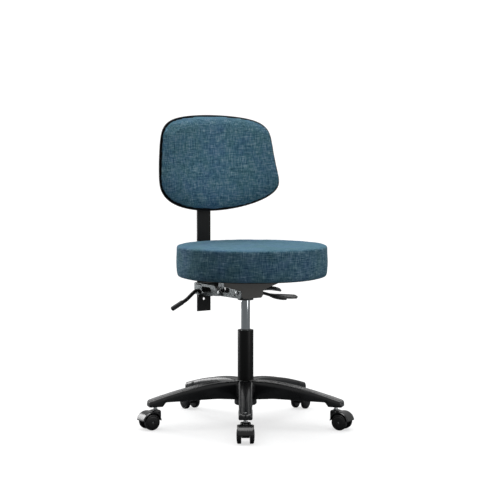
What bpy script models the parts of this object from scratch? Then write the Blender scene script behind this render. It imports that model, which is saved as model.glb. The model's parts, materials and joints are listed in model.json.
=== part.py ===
"""Dentist stool: a round upholstered seat and a curved back on a tilting mechanism, a gas
column and a five-arm base with hooded twin-wheel casters.

Metres, +Z up. The sitter faces -Y, so the sitter's right hand is at -X. Every place is
measured from the column's centre line, and at() shifts it so that the origin lies on the
floor under the middle of the whole stool.
"""
from math import asin, cos, degrees, dist, pi, radians, sin, sqrt, tan

import bmesh
import bpy
from mathutils import Matrix, Vector

GAP = 0.0003                # clearance between pieces that touch
PAST = 0.010                # how far a cutter runs past the face it leaves by
SOFTENING = 0.002           # corner taken off a moulded edge
SHEET_GAP = 0.0012          # glue line between curved sheets
ROUND = 30                  # facets round a large turned piece
SMALL_ROUND = 12            # facets round a pin or a bolt
SEAT_ROUND = 40             # facets round the seat

# Casters
WHEEL_RADIUS = 0.025
WHEEL_WIDTH = 0.0135
WHEEL_BULGE = 0.0012
AXLE_RADIUS = 0.003
CASTER_TRAIL = 0.021        # stem axis to axle
HOOD_WALL = 0.0030
HOOD_CLEARANCE = 0.0040     # hood to tread
HOOD_SKIRT = 0.029          # height of the hood's lower edge
HOOD_WEB = 0.0245           # thickness of the body between the wheels
HOOD_TOP = 0.0595
CHEEK_RADIUS = 0.0085       # round the axle, between the wheels
STEM_RADIUS = 0.0055
STEM_COLLAR = 0.0075
STEM_DEPTH = 0.0125         # how far the stem goes into the hood
CASTER_TURNS = (0, 66, 156, 216, -86)    # which way each caster trails, degrees from +Y

# Five-arm base
ARMS = 5
STEM_CIRCLE = 0.295
BOSS_RADIUS = 0.0225
BOSS_BOTTOM = 0.070
BOSS_HEIGHT = 0.0245
STEM_GRIP = 0.020           # how far the stem goes into the boss
BASE_TOP = 0.1385
ARM_TIP_TOP = 0.0915
ARM_BOTTOM = 0.086
ARM_KNEE = 0.060            # where the arm starts to fall away
ARM_FALL = 1.6              # power of the fall
ARM_ROOT_WIDTH = 0.050
ARM_TIP_WIDTH = 0.040
ROOT_SHARE = 0.96           # of the space between its neighbours, where an arm meets the hub
HUB_WALL = 0.0085
HUB_LIP = 0.0015            # hub above the arms' ridges
HUB_BOTTOM = 0.060
HUB_FLOOR = 0.005

# Column
TUBE_RADIUS = 0.025
TUBE_WALL = 0.0022
TUBE_TOP = 0.298
TUBE_FLOOR = 0.003
BUSH_LENGTH = 0.075
CYLINDER_RADIUS = 0.014
CYLINDER_WALL = 0.0018
CYLINDER_BOTTOM = 0.165
CONE_START = 0.396
CYLINDER_TOP = 0.434
CONE_TOP_RADIUS = 0.0127
ROD_RADIUS = 0.005
ROD_TOP = 0.297
PISTON_HEIGHT = 0.012
BEARING_HEIGHT = 0.004
BEARING_RADIUS = 0.015
BUFFER_HEIGHT = 0.005
BUFFER_RADIUS = 0.012
CLIP_HEIGHT = 0.003
CLIP_RADIUS = 0.009
BUTTON_RADIUS = 0.004
BUTTON_PROUD = 0.0072
BUTTON_TRAVEL = 0.0050

# Tilt mechanism
SHEET = 0.0025              # steel sheet
BOX_HALF = 0.0425           # outer half width of the seat pan's box
BOX_FRONT = -0.035
BOX_REAR = 0.088
BOX_BOTTOM = 0.400
NOSE_CUT = 0.009            # lower corners of the front plate cut off
WING_HALF = 0.107           # front plate, half width at its widest
WING_LOW = 0.4243
WING_HIGH = 0.4435
PAN_TOP = 0.4677
PAN_HALF = 0.135
PAN_FRONT = -0.075
PAN_REAR = 0.130
YOKE_HALF = 0.0285
YOKE_FRONT = -0.0205
YOKE_REAR = 0.070
YOKE_BOTTOM = 0.400
COLLAR_RADIUS = 0.025
COLLAR_HEIGHT = 0.007
TILT_Y = -0.012             # seat tilt axis
TILT_Z = 0.418
TILT_PIN_RADIUS = 0.004
TILT_HEAD_RADIUS = 0.006
OVAL_Y = 0.0460             # stamped hole in the box's right wall
OVAL_Z = 0.4214
OVAL_LENGTH = 0.038
OVAL_HEIGHT = 0.016
LEVER_X = 0.0345            # lever shaft, on the sitter's left
LEVER_Z = 0.4155
LEVER_SHAFT_RADIUS = 0.003
LEVER_HUB_RADIUS = 0.0052
LEVER_WIDTH = 0.007
LEVER_PITCH = 0.010
LEVER_FIRST = 0.014         # middle of the first lever, behind the column axis
LUG = 0.003
LEVER_ROLL = radians(30)    # the paddles' faces lean toward the front
WINDOW_HEIGHT = 0.0175
TONGUE = 0.0025

# Seat
SEAT_Y = -0.034
SEAT_RADIUS = 0.237
SEAT_BOTTOM = 0.468
SEAT_THICKNESS = 0.102
BOARD_RADIUS = 0.215
BOARD_THICKNESS = 0.012
BOLT_RADIUS = 0.003
BOLT_HEAD_RADIUS = 0.0055
BOLT_HEAD = 0.004
BOLT_EDGE = 0.013           # bolt to the edge of the pan

# Back arm and post
ARM_PIVOT_Y = 0.080
ARM_PIVOT_Z = 0.4105
ARM_PIN_RADIUS = 0.004
ARM_NOSE = 0.011
PLATE_BOTTOM = 0.398
PLATE_TOP = 0.431
ARM_OVAL_Y = 0.1525
ARM_OVAL_Z = 0.4135
ARM_OVAL_LENGTH = 0.054
ARM_OVAL_HEIGHT = 0.019
WEB_FRONT = 0.100
POST_CLEARANCE = 0.027      # seat cushion to the front face of the back post
POST_Y = SEAT_Y + SEAT_RADIUS + POST_CLEARANCE
POST_WIDTH = 0.051
POST_THICKNESS = 0.006
POST_BOTTOM = 0.335
POST_HOLE_RADIUS = 0.0048
POST_HOLE_Z = 0.375
CLAMP_WALL = 0.0065
CLAMP_BOTTOM = 0.394
CLAMP_REACH = 0.030         # clamp's front to the post's front face
CLAMP_SIDE = 0.004          # wall beside the post
PLATE_SHY = 0.009           # plates' rear ends to the post's front face
LOCK_X = -0.054             # back lock lever's stud
LOCK_Y = 0.175
LOCK_ROD_RADIUS = 0.006
LOCK_BOTTOM = 0.388
LOCK_RISE = 0.0215
LOCK_REACH = (-0.096, 0.015, -0.0532)    # from the top of the stud to the tip
GRIP_LENGTH = 0.040
GRIP_WALL = 0.0012

# Backrest, in its own plane: u across, v up the slope, n forward
BACK_TILT = radians(4.7)
BEND_Z = 0.715
BACK_MIDDLE = 0.1014        # bend to the middle of the backrest, up the slope
BACK_HALF_HEIGHT = 0.155
BACK_HALF_WIDTH = 0.2362
BACK_WIDEST = -0.070        # v of that width
BACK_TAPER = 0.131          # how fast the half width falls, metres per metre up
BACK_CURVE = 0.422          # radius of the wrap round the sitter
BACK_DISH = 0.76            # forward curve up the back, metres per metre squared
CORNER_TOP = 6.3            # superellipse powers
CORNER_BOTTOM = 5.9
CAMBER_TOP = 0.162          # share of the height lost at the corners
CAMBER_BOTTOM = 0.314
OUTLINE_STEPS = 40          # points round a sheet's edge
OUTLINE_TRIAL = 720         # points tried before they are spaced evenly
BACK_PLATE = 0.0191
BACK_PLATE_HALF = 0.036
BACK_PLATE_LOW = 0.030
BACK_PLATE_HIGH = 0.150
SHEET_RINGS = 5             # steps from the middle of a curved sheet to its edge
SHELL_THICKNESS = 0.005
BACK_BOARD = 0.004
BACK_PADDING = 0.038
PAD_INSET = 0.003
PAD_EDGE = 0.004            # pad thickness at its rim
BOARD_INSET = 0.010
POST_END = 0.160
SCREW_LOW = 0.055
SCREW_HIGH = 0.125
SCREW_RADIUS = 0.003
SCREW_HEAD_RADIUS = 0.0058
SCREW_HEAD = 0.0032

HALF_TURN = pi / ARMS       # between a front arm and straight ahead
HOOD_RADIUS = WHEEL_RADIUS + HOOD_CLEARANCE + HOOD_WALL
CASTER_HALF = HOOD_WEB / 2 + GAP + WHEEL_WIDTH
REAR_REACH = STEM_CIRCLE + CASTER_TRAIL + HOOD_RADIUS
FRONT_REACH = ((STEM_CIRCLE + CASTER_TRAIL + HOOD_RADIUS) * cos(HALF_TURN)
               + CASTER_HALF * sin(HALF_TURN))
COLUMN_Y = (FRONT_REACH - REAR_REACH) / 2

SKIN = {
    "black_nylon": ("1C1D1E", 0.38, 0.0),
    "black_powder_coat": ("161819", 0.45, 0.3),
    "chrome": ("D9DCDE", 0.08, 1.0),
    "bright_steel": ("B4B7B8", 0.30, 1.0),
    "zinc_steel": ("8F9393", 0.42, 0.9),
    "dark_steel": ("47494A", 0.45, 0.7),
    "black_plastic": ("121314", 0.40, 0.0),
    "tyre_black": ("151516", 0.60, 0.0),
    "rubber": ("0F0F10", 0.85, 0.0),
    "plywood": ("B9966B", 0.70, 0.0),
    "teal_fabric": ("3E5C6B", 0.95, 0.0),
}


def at(x, y, z):
    """A place given from the column's centre line."""
    return Vector((x, y + COLUMN_Y, z))


def start():
    for thing in list(bpy.data.objects):
        bpy.data.objects.remove(thing, do_unlink=True)
    for name in ("dentist_stool", "cutters"):
        group = bpy.data.collections.new(name)
        bpy.context.scene.collection.children.link(group)
    for name, (colour, rough, metal) in SKIN.items():
        material = bpy.data.materials.new(name)
        material.use_nodes = True
        shader = material.node_tree.nodes["Principled BSDF"]
        shader.inputs["Base Color"].default_value = linear(colour)
        shader.inputs["Roughness"].default_value = rough
        shader.inputs["Metallic"].default_value = metal


def linear(colour):
    """An sRGB hex colour as linear red, green, blue and 1."""
    parts = [int(colour[i:i + 2], 16) / 255 for i in (0, 2, 4)]
    return [c / 12.92 if c < 0.04045 else ((c + 0.055) / 1.055) ** 2.4 for c in parts] + [1]


def joint_empty(name, place, turn=0.0):
    """An empty on a joint's axis, which its pieces are parented to."""
    empty = bpy.data.objects.new(name, None)
    empty.location = place
    empty.rotation_euler = (0, 0, turn)
    bpy.data.collections["dentist_stool"].objects.link(empty)
    return empty


def wrap(name, mesh):
    """An object for a mesh, kept with the cutters until finish() names it a part."""
    thing = bpy.data.objects.new(name, mesh)
    thing.hide_render = True
    thing.display_type = "WIRE"
    bpy.data.collections["cutters"].objects.link(thing)
    return thing


def from_bmesh(name, shape):
    mesh = bpy.data.meshes.new(name)
    bmesh.ops.recalc_face_normals(shape, faces=shape.faces)
    shape.to_mesh(mesh)
    shape.free()
    mesh.shade_smooth()
    mesh.set_sharp_from_angle(angle=radians(35))
    return wrap(name, mesh)


def baked(thing, name):
    """The same shape as a plain mesh, with its modifiers or its curve worked out."""
    bpy.context.view_layer.update()
    graph = bpy.context.evaluated_depsgraph_get()
    mesh = bpy.data.meshes.new_from_object(thing.evaluated_get(graph), depsgraph=graph)
    shape = bmesh.new()
    shape.from_mesh(mesh)
    bmesh.ops.remove_doubles(shape, verts=shape.verts, dist=1e-6)
    placed = thing.matrix_world.copy()
    bpy.data.objects.remove(thing, do_unlink=True)
    done = from_bmesh(name, shape)
    done.matrix_world = placed
    return done


def finish(thing, node, skin, joint):
    """Name a shape as a part, give it its material and hang it on its joint's empty."""
    bpy.data.collections["cutters"].objects.unlink(thing)
    bpy.data.collections["dentist_stool"].objects.link(thing)
    thing.name = node
    thing.data.name = node
    thing.hide_render = False
    thing.display_type = "SOLID"
    thing.data.materials.clear()
    thing.data.materials.append(bpy.data.materials[skin])
    thing.parent = joint
    joint_matrix = Matrix.Translation(joint.location) @ joint.rotation_euler.to_matrix().to_4x4()
    thing.matrix_parent_inverse = joint_matrix.inverted()
    return thing


def combine(thing, other, operation):
    step = thing.modifiers.new(other.name, "BOOLEAN")
    step.operation = operation
    step.solver = "EXACT"
    step.object = other
    return thing


def use_manifold(thing):
    """Crowned arms that meet round one hub leave open edges with the exact solver."""
    for step in thing.modifiers:
        if step.type == "BOOLEAN":
            step.solver = "MANIFOLD"
    return thing


def join(thing, *others):
    for other in others:
        combine(thing, other, "UNION")
    return thing


def cut(thing, *others):
    for other in others:
        combine(thing, other, "DIFFERENCE")
    return thing


def box(name, x, y, z):
    """A block between two limits on each axis, measured from the column axis."""
    shape = bmesh.new()
    bmesh.ops.create_cube(shape, size=1)
    low = at(x[0], y[0], z[0])
    high = at(x[1], y[1], z[1])
    for vertex in shape.verts:
        for axis in range(3):
            vertex.co[axis] = low[axis] if vertex.co[axis] < 0 else high[axis]
    return from_bmesh(name, shape)


def rod(name, radius, start_at, end_at, sides=SMALL_ROUND):
    """A round bar between two places."""
    shape = bmesh.new()
    run = end_at - start_at
    bmesh.ops.create_cone(shape, cap_ends=True, segments=sides, radius1=radius,
                          radius2=radius, depth=run.length)
    turn = run.to_track_quat("Z", "Y").to_matrix().to_4x4()
    middle = Matrix.Translation((start_at + end_at) / 2)
    bmesh.ops.transform(shape, matrix=middle @ turn, verts=shape.verts)
    return from_bmesh(name, shape)


def turned(name, profile, sides=ROUND, ring=False, place=None):
    """A profile of (radius, height) turned about Z, listed down its outer side.

    A ring's profile closes on itself, and a solid one starts and ends on the axis.
    """
    mesh = bpy.data.meshes.new(name)
    count = len(profile)
    edges = [(i, i + 1) for i in range(count - 1)]
    if ring:
        edges.append((count - 1, 0))
    mesh.from_pydata([(radius, 0, height) for radius, height in profile], edges, [])
    thing = wrap(name, mesh)
    screw = thing.modifiers.new("turn", "SCREW")
    screw.steps = sides
    screw.render_steps = sides
    screw.use_merge_vertices = True
    screw.merge_threshold = 0.00001
    thing = baked(thing, name)
    thing.data.transform(Matrix.Translation(place if place is not None else at(0, 0, 0)))
    return thing


def tube(name, inner, outer, low, high, sides=ROUND, place=None):
    """A plain ring between two radii and two heights."""
    profile = [(outer, high), (outer, low), (inner, low), (inner, high)]
    return turned(name, profile, sides, True, place)


PLANES = {
    "YZ": Matrix(((0, 0, 1, 0), (1, 0, 0, 0), (0, 1, 0, 0), (0, 0, 0, 1))),
    "XZ": Matrix(((1, 0, 0, 0), (0, 0, -1, 0), (0, 1, 0, 0), (0, 0, 0, 1))),
}


def flat(name, loops, thickness, plane, offset):
    """A plate from closed outlines, the first outside and the rest holes, lying in a plane.

    offset is the plate's middle on the axis across the plane.
    """
    curve = bpy.data.curves.new(name, "CURVE")
    curve.dimensions = "2D"
    curve.fill_mode = "BOTH"
    curve.extrude = thickness / 2
    curve.render_resolution_u = 0
    for points in loops:
        spline = curve.splines.new("POLY")
        spline.points.add(len(points) - 1)
        for point, (a, b) in zip(spline.points, points):
            point.co = (a, b, 0, 1)
        spline.use_cyclic_u = True
    thing = baked(wrap(name, curve), name)
    shift = at(offset, 0, 0) if plane == "YZ" else at(0, offset, 0)
    thing.data.transform(Matrix.Translation(shift) @ PLANES[plane])
    return thing


def wire(name, points, radius, resolution=2):
    """A round wire along a list of places."""
    curve = bpy.data.curves.new(name, "CURVE")
    curve.dimensions = "3D"
    curve.bevel_depth = radius
    curve.bevel_resolution = resolution
    curve.use_fill_caps = True
    curve.render_resolution_u = 0
    spline = curve.splines.new("POLY")
    spline.points.add(len(points) - 1)
    for point, place in zip(spline.points, points):
        point.co = (*place, 1)
    return baked(wrap(name, curve), name)


def loft(name, rings):
    """A closed skin over rings of equal point counts, with flat ends."""
    shape = bmesh.new()
    rows = [[shape.verts.new(place) for place in ring] for ring in rings]
    count = len(rows[0])
    for row, following in zip(rows, rows[1:]):
        for i in range(count):
            j = (i + 1) % count
            shape.faces.new((row[i], row[j], following[j], following[i]))
    shape.faces.new(rows[0])
    shape.faces.new(rows[-1])
    bmesh.ops.triangulate(shape, faces=shape.faces)
    return from_bmesh(name, shape)


def arc(cx, cy, radius, start_deg, end_deg, steps):
    """Points along an arc, in degrees from the first axis."""
    turns = [radians(start_deg + (end_deg - start_deg) * i / steps) for i in range(steps + 1)]
    return [(cx + radius * cos(t), cy + radius * sin(t)) for t in turns]


def slot_outline(cx, cy, length, height, steps=8):
    """A slot with round ends, its length along the first axis."""
    reach = (length - height) / 2
    return (arc(cx + reach, cy, height / 2, -90, 90, steps)
            + arc(cx - reach, cy, height / 2, 90, 270, steps))


def polar(radius, degrees_from_y, height):
    turn = radians(degrees_from_y)
    return at(radius * sin(turn), radius * cos(turn), height)


# ---------------------------------------------------------------- casters

def hood_outline():
    """The hood's side view: y from the stem axis, z from the floor."""
    low = HOOD_SKIRT - WHEEL_RADIUS
    first = degrees(asin(low / HOOD_RADIUS))
    heel = -STEM_COLLAR - 0.006
    points = arc(CASTER_TRAIL, WHEEL_RADIUS, HOOD_RADIUS, first, 84, 9)
    points += [(CASTER_TRAIL - 0.006, HOOD_TOP), (heel + 0.004, HOOD_TOP)]
    points += [(heel + 0.001, HOOD_TOP - 0.0015), (heel, HOOD_TOP - 0.005)]
    points += [(heel, HOOD_SKIRT)]
    return points


def make_hood():
    """A hood over both wheels, with a web between them that the axle goes through."""
    axle = Vector((0, CASTER_TRAIL, WHEEL_RADIUS))
    side = Vector((CASTER_HALF, 0, 0))
    web = Vector((HOOD_WEB / 2, 0, 0))
    past = Vector((CASTER_HALF * 2, 0, 0))
    hood = flat("hood", [hood_outline()], CASTER_HALF * 2, "YZ", 0)
    hood.data.transform(Matrix.Translation(-at(0, 0, 0)))
    join(hood, rod("cheek", CHEEK_RADIUS, axle - web, axle + web, 24))
    pocket = WHEEL_RADIUS + HOOD_CLEARANCE
    cut(hood, rod("pocket_left", pocket, axle - past, axle - web, 36))
    cut(hood, rod("pocket_right", pocket, axle + web, axle + past, 36))
    cut(hood, rod("axle_bore", AXLE_RADIUS + GAP, axle - side, axle + side))
    low = Vector((0, 0, HOOD_TOP - STEM_DEPTH - GAP))
    cut(hood, rod("stem_bore", STEM_RADIUS + GAP, low, Vector((0, 0, HOOD_TOP + PAST))))
    return baked(hood, "hood").data


def make_stem():
    low = HOOD_TOP - STEM_DEPTH
    top = BOSS_BOTTOM + STEM_GRIP
    profile = [(0, top), (STEM_RADIUS - 0.001, top), (STEM_RADIUS, top - 0.001),
               (STEM_RADIUS, HOOD_TOP + 0.0030), (STEM_COLLAR, HOOD_TOP + 0.0030),
               (STEM_COLLAR, HOOD_TOP + GAP), (STEM_RADIUS, HOOD_TOP + GAP),
               (STEM_RADIUS, low), (0, low)]
    return turned("stem", profile, SMALL_ROUND, False, Vector()).data


def make_axle():
    half = CASTER_HALF - 0.002
    centre = Vector((0, CASTER_TRAIL, WHEEL_RADIUS))
    reach = Vector((half, 0, 0))
    return rod("axle", AXLE_RADIUS, centre - reach, centre + reach, 12).data


def make_wheel(side):
    """One wheel, bored for the axle, with a face that bulges outward on its side."""
    bore = AXLE_RADIUS + GAP
    rim = WHEEL_RADIUS
    face = WHEEL_WIDTH
    profile = [(bore, face + WHEEL_BULGE), (rim * 0.6, face + WHEEL_BULGE * 0.7),
               (rim - 0.0025, face - 0.0005), (rim, face - 0.0045), (rim, 0.0), (bore, 0.0)]
    wheel = turned("wheel", profile, 24, True, Vector())
    turn = Matrix.Rotation(radians(90) * side, 4, "Y")
    out = Vector((side * (HOOD_WEB / 2 + GAP), CASTER_TRAIL, WHEEL_RADIUS))
    wheel.data.transform(Matrix.Translation(out) @ turn)
    return wheel.data


def build_casters(base):
    shapes = {
        "stem": (make_stem(), "bright_steel"),
        "hood": (make_hood(), "black_plastic"),
        "axle": (make_axle(), "bright_steel"),
        "wheel_left": (make_wheel(-1), "tyre_black"),
        "wheel_right": (make_wheel(1), "tyre_black"),
    }
    for index, trail in enumerate(CASTER_TURNS):
        number = index + 1
        place = polar(STEM_CIRCLE, index * 360 / ARMS, 0)
        swivel = joint_empty(f"caster_{number}_axis", place, -radians(trail))
        swivel.parent = base
        swivel.matrix_parent_inverse = Matrix.Translation(base.location).inverted()
        for piece, (mesh, skin) in shapes.items():
            thing = bpy.data.objects.new(f"caster_{number}_{piece}", mesh)
            if not mesh.materials:
                mesh.materials.append(bpy.data.materials[skin])
            thing.parent = swivel
            bpy.data.collections["dentist_stool"].objects.link(thing)


# ---------------------------------------------------------------- base and column

def arm_top(radius):
    """Height of an arm's ridge: level to the knee, then falling to the tip."""
    end = STEM_CIRCLE + BOSS_RADIUS * 0.5
    share = max(0.0, (radius - ARM_KNEE) / (end - ARM_KNEE))
    return BASE_TOP - (BASE_TOP - ARM_TIP_TOP) * share ** ARM_FALL


def make_arm(turn):
    """One arm: crowned sections that narrow and fall from the hub to the boss."""
    inner = TUBE_RADIUS + HUB_WALL / 2
    outer = STEM_CIRCLE + BOSS_RADIUS * 0.5
    rings = []
    for step in range(9):
        radius = inner + (outer - inner) * step / 8
        share = step / 8
        half = (ARM_ROOT_WIDTH + (ARM_TIP_WIDTH - ARM_ROOT_WIDTH) * share) / 2
        half = min(half, radius * tan(HALF_TURN) * ROOT_SHARE)
        top = arm_top(radius)
        low = ARM_BOTTOM
        section = [(-half, low), (half, low), (half, max(top - 0.012, low + 0.002)),
                   (half * 0.86, top - 0.005), (half * 0.5, top - 0.0012), (0, top),
                   (-half * 0.5, top - 0.0012), (-half * 0.86, top - 0.005),
                   (-half, max(top - 0.012, low + 0.002))]
        heading = radians(turn)
        ring = []
        for across, height in section:
            x = radius * sin(heading) + across * cos(heading)
            y = radius * cos(heading) - across * sin(heading)
            ring.append(at(x, y, height))
        rings.append(ring)
    return loft(f"arm_{turn:.0f}", rings)


def build_base(base):
    outer = TUBE_RADIUS + HUB_WALL
    floor = HUB_BOTTOM + HUB_FLOOR
    top = BASE_TOP + HUB_LIP
    hub = turned("hub", [(0, top), (outer - SOFTENING, top), (outer, top - SOFTENING),
                         (outer, HUB_BOTTOM + SOFTENING), (outer - SOFTENING, HUB_BOTTOM),
                         (0, HUB_BOTTOM)])
    boss_top = BOSS_BOTTOM + BOSS_HEIGHT
    for index in range(ARMS):
        turn = index * 360 / ARMS
        place = polar(STEM_CIRCLE, turn, 0)
        profile = [(0, boss_top), (BOSS_RADIUS - SOFTENING, boss_top), (BOSS_RADIUS, boss_top - 0.003),
                   (BOSS_RADIUS, BOSS_BOTTOM + 0.0015), (BOSS_RADIUS - 0.0015, BOSS_BOTTOM),
                   (0, BOSS_BOTTOM)]
        join(hub, make_arm(turn), turned(f"boss_{index}", profile, 24, False, place))
    cut(hub, rod("tube_bore", TUBE_RADIUS + GAP, at(0, 0, floor), at(0, 0, BASE_TOP + 0.02), ROUND))
    cut(hub, rod("clip_bore", CLIP_RADIUS + 0.003, at(0, 0, HUB_BOTTOM - PAST),
                 at(0, 0, floor + PAST), 24))
    for index in range(ARMS):
        place = polar(STEM_CIRCLE, index * 360 / ARMS, 0)
        low = place + Vector((0, 0, BOSS_BOTTOM - PAST))
        high = place + Vector((0, 0, BOSS_BOTTOM + STEM_GRIP + GAP))
        cut(hub, rod(f"stem_hole_{index}", STEM_RADIUS + GAP, low, high))
    finish(use_manifold(hub), "base_star", "black_nylon", base)


def build_column(base, rotor, control):
    """Outer tube and bush on the base, the piston rod that turns in it, and the gas cylinder."""
    low = HUB_BOTTOM + HUB_FLOOR + GAP
    inner = TUBE_RADIUS - TUBE_WALL
    hole = ROD_RADIUS + GAP
    floor = low + TUBE_FLOOR
    profile = [(inner, TUBE_TOP), (TUBE_RADIUS - 0.0008, TUBE_TOP), (TUBE_RADIUS, TUBE_TOP - 0.001),
               (TUBE_RADIUS, low), (hole, low), (hole, floor), (inner, floor)]
    finish(turned("tube", profile, ROUND, True), "column_tube", "black_powder_coat", base)
    bush_low = TUBE_TOP - BUSH_LENGTH
    bush = tube("bush", CYLINDER_RADIUS + GAP, inner - GAP, bush_low, TUBE_TOP - GAP)
    finish(bush, "guide_bush", "black_plastic", base)
    bearing_low = floor + GAP
    bearing_top = bearing_low + BEARING_HEIGHT
    bearing = tube("bearing", hole, BEARING_RADIUS, bearing_low, bearing_top, 24)
    finish(bearing, "thrust_bearing", "bright_steel", base)
    buffer_low = bearing_top + GAP
    buffer_ring = tube("buffer", hole, BUFFER_RADIUS, buffer_low, buffer_low + BUFFER_HEIGHT, 24)
    finish(buffer_ring, "rod_buffer", "rubber", rotor)
    clip_top = low - GAP
    clip = tube("clip", hole, CLIP_RADIUS, clip_top - CLIP_HEIGHT, clip_top, SMALL_ROUND)
    finish(clip, "retaining_clip", "bright_steel", rotor)
    bore = CYLINDER_RADIUS - CYLINDER_WALL
    piston = bore - GAP
    rod_low = clip_top - CLIP_HEIGHT - 0.001
    piston_low = ROD_TOP - PISTON_HEIGHT
    rod_shape = turned("rod", [(0, ROD_TOP), (piston, ROD_TOP), (piston, piston_low),
                               (ROD_RADIUS, piston_low), (ROD_RADIUS, rod_low), (0, rod_low)], 24)
    finish(rod_shape, "piston_rod", "bright_steel", rotor)
    chamber_low = CYLINDER_BOTTOM + 0.005
    chamber_top = CONE_START + 0.006
    well = CYLINDER_TOP - BUTTON_TRAVEL * 3.2
    cylinder = turned("cylinder", [
        (0, CYLINDER_TOP), (CONE_TOP_RADIUS, CYLINDER_TOP), (CYLINDER_RADIUS, CONE_START),
        (CYLINDER_RADIUS, CYLINDER_BOTTOM + 0.001), (CYLINDER_RADIUS - 0.001, CYLINDER_BOTTOM),
        (hole, CYLINDER_BOTTOM), (hole, chamber_low), (bore, chamber_low), (bore, chamber_top),
        (0, chamber_top)])
    cut(cylinder, rod("button_well", BUTTON_RADIUS + GAP, at(0, 0, well),
                      at(0, 0, CYLINDER_TOP + PAST)))
    finish(cylinder, "gas_cylinder", "chrome", control)


# ---------------------------------------------------------------- mechanism

def lever_y(number):
    """Middle of a lever's hub along the shaft."""
    return LEVER_FIRST + LEVER_PITCH * number


def build_control(control, button_joint):
    """The cast yoke on the cylinder's cone, the lever shaft and the release button."""
    top = CYLINDER_TOP
    yoke = box("yoke", (-YOKE_HALF, YOKE_HALF), (YOKE_FRONT, YOKE_REAR), (YOKE_BOTTOM, top))
    collar_low = YOKE_BOTTOM - COLLAR_HEIGHT
    collar = rod("collar", COLLAR_RADIUS, at(0, 0, collar_low), at(0, 0, YOKE_BOTTOM + 0.002), ROUND)
    join(yoke, collar)
    first = lever_y(0) - LEVER_WIDTH / 2 - 0.001
    last = lever_y(2) + LEVER_WIDTH / 2 + 0.001
    reach = LEVER_X + LEVER_SHAFT_RADIUS + 0.0015
    height = (LEVER_Z - LEVER_SHAFT_RADIUS - 0.0025, LEVER_Z + LEVER_SHAFT_RADIUS + 0.0025)
    inside = YOKE_HALF - 0.005
    join(yoke, box("lug_front", (inside, reach), (first - LUG, first), height),
         box("lug_rear", (inside, reach), (last, last + LUG), height))
    socket = [(0, top + PAST), (CONE_TOP_RADIUS + GAP, top + PAST), (CONE_TOP_RADIUS + GAP, top),
              (CYLINDER_RADIUS + GAP, CONE_START), (CYLINDER_RADIUS + GAP, collar_low - PAST),
              (0, collar_low - PAST)]
    cut(yoke, turned("socket", socket))
    shaft_low = first - LUG - 0.001
    shaft_high = last + LUG + 0.001
    cut(yoke, rod("shaft_bore", LEVER_SHAFT_RADIUS + GAP, at(LEVER_X, shaft_low - PAST, LEVER_Z),
                  at(LEVER_X, shaft_high + PAST, LEVER_Z)))
    for side, label in ((-1, "right"), (1, "left")):
        start_at = at(side * (pin_inner() - GAP), TILT_Y, TILT_Z)
        end_at = at(side * (YOKE_HALF + PAST), TILT_Y, TILT_Z)
        cut(yoke, rod(f"pin_bore_{label}", TILT_PIN_RADIUS + GAP, start_at, end_at))
    finish(yoke, "tilt_yoke", "dark_steel", control)
    shaft = rod("shaft", LEVER_SHAFT_RADIUS, at(LEVER_X, shaft_low, LEVER_Z),
                at(LEVER_X, shaft_high, LEVER_Z))
    finish(shaft, "lever_shaft", "bright_steel", control)
    button_low = CYLINDER_TOP - BUTTON_TRAVEL * 2
    button = turned("button", [(0, top + BUTTON_PROUD), (BUTTON_RADIUS - 0.0008, top + BUTTON_PROUD),
                               (BUTTON_RADIUS, top + BUTTON_PROUD - 0.0008),
                               (BUTTON_RADIUS, button_low), (0, button_low)], SMALL_ROUND)
    finish(button, "release_button", "bright_steel", button_joint)


def pin_inner():
    """Inner end of a tilt pin, measured from the middle."""
    return YOKE_HALF - 0.006


def lever_hub(number):
    y = lever_y(number)
    half = LEVER_WIDTH / 2
    return rod(f"lever_hub_{number}", LEVER_HUB_RADIUS, at(LEVER_X, y - half, LEVER_Z),
               at(LEVER_X, y + half, LEVER_Z), 20)


def paddle(name, points):
    """A flat lever blade through (x, y, z, width, thickness) stations from the shaft outward."""
    rings = []
    for i, (x, y, z, width, thickness) in enumerate(points):
        before = points[max(i - 1, 0)]
        after = points[min(i + 1, len(points) - 1)]
        run = Vector((after[0] - before[0], after[1] - before[1], 0)).normalized()
        side = Vector((-run.y * cos(LEVER_ROLL), run.x * cos(LEVER_ROLL), sin(LEVER_ROLL)))
        face = run.cross(side)
        middle = at(x, y, z)
        ring = []
        for across, up in ((-0.5, -0.25), (-0.36, -0.5), (0.36, -0.5), (0.5, -0.25),
                           (0.5, 0.25), (0.36, 0.5), (-0.36, 0.5), (-0.5, 0.25)):
            ring.append(middle + side * (across * width) + face * (up * thickness))
        rings.append(ring)
    return loft(name, rings)


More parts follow.
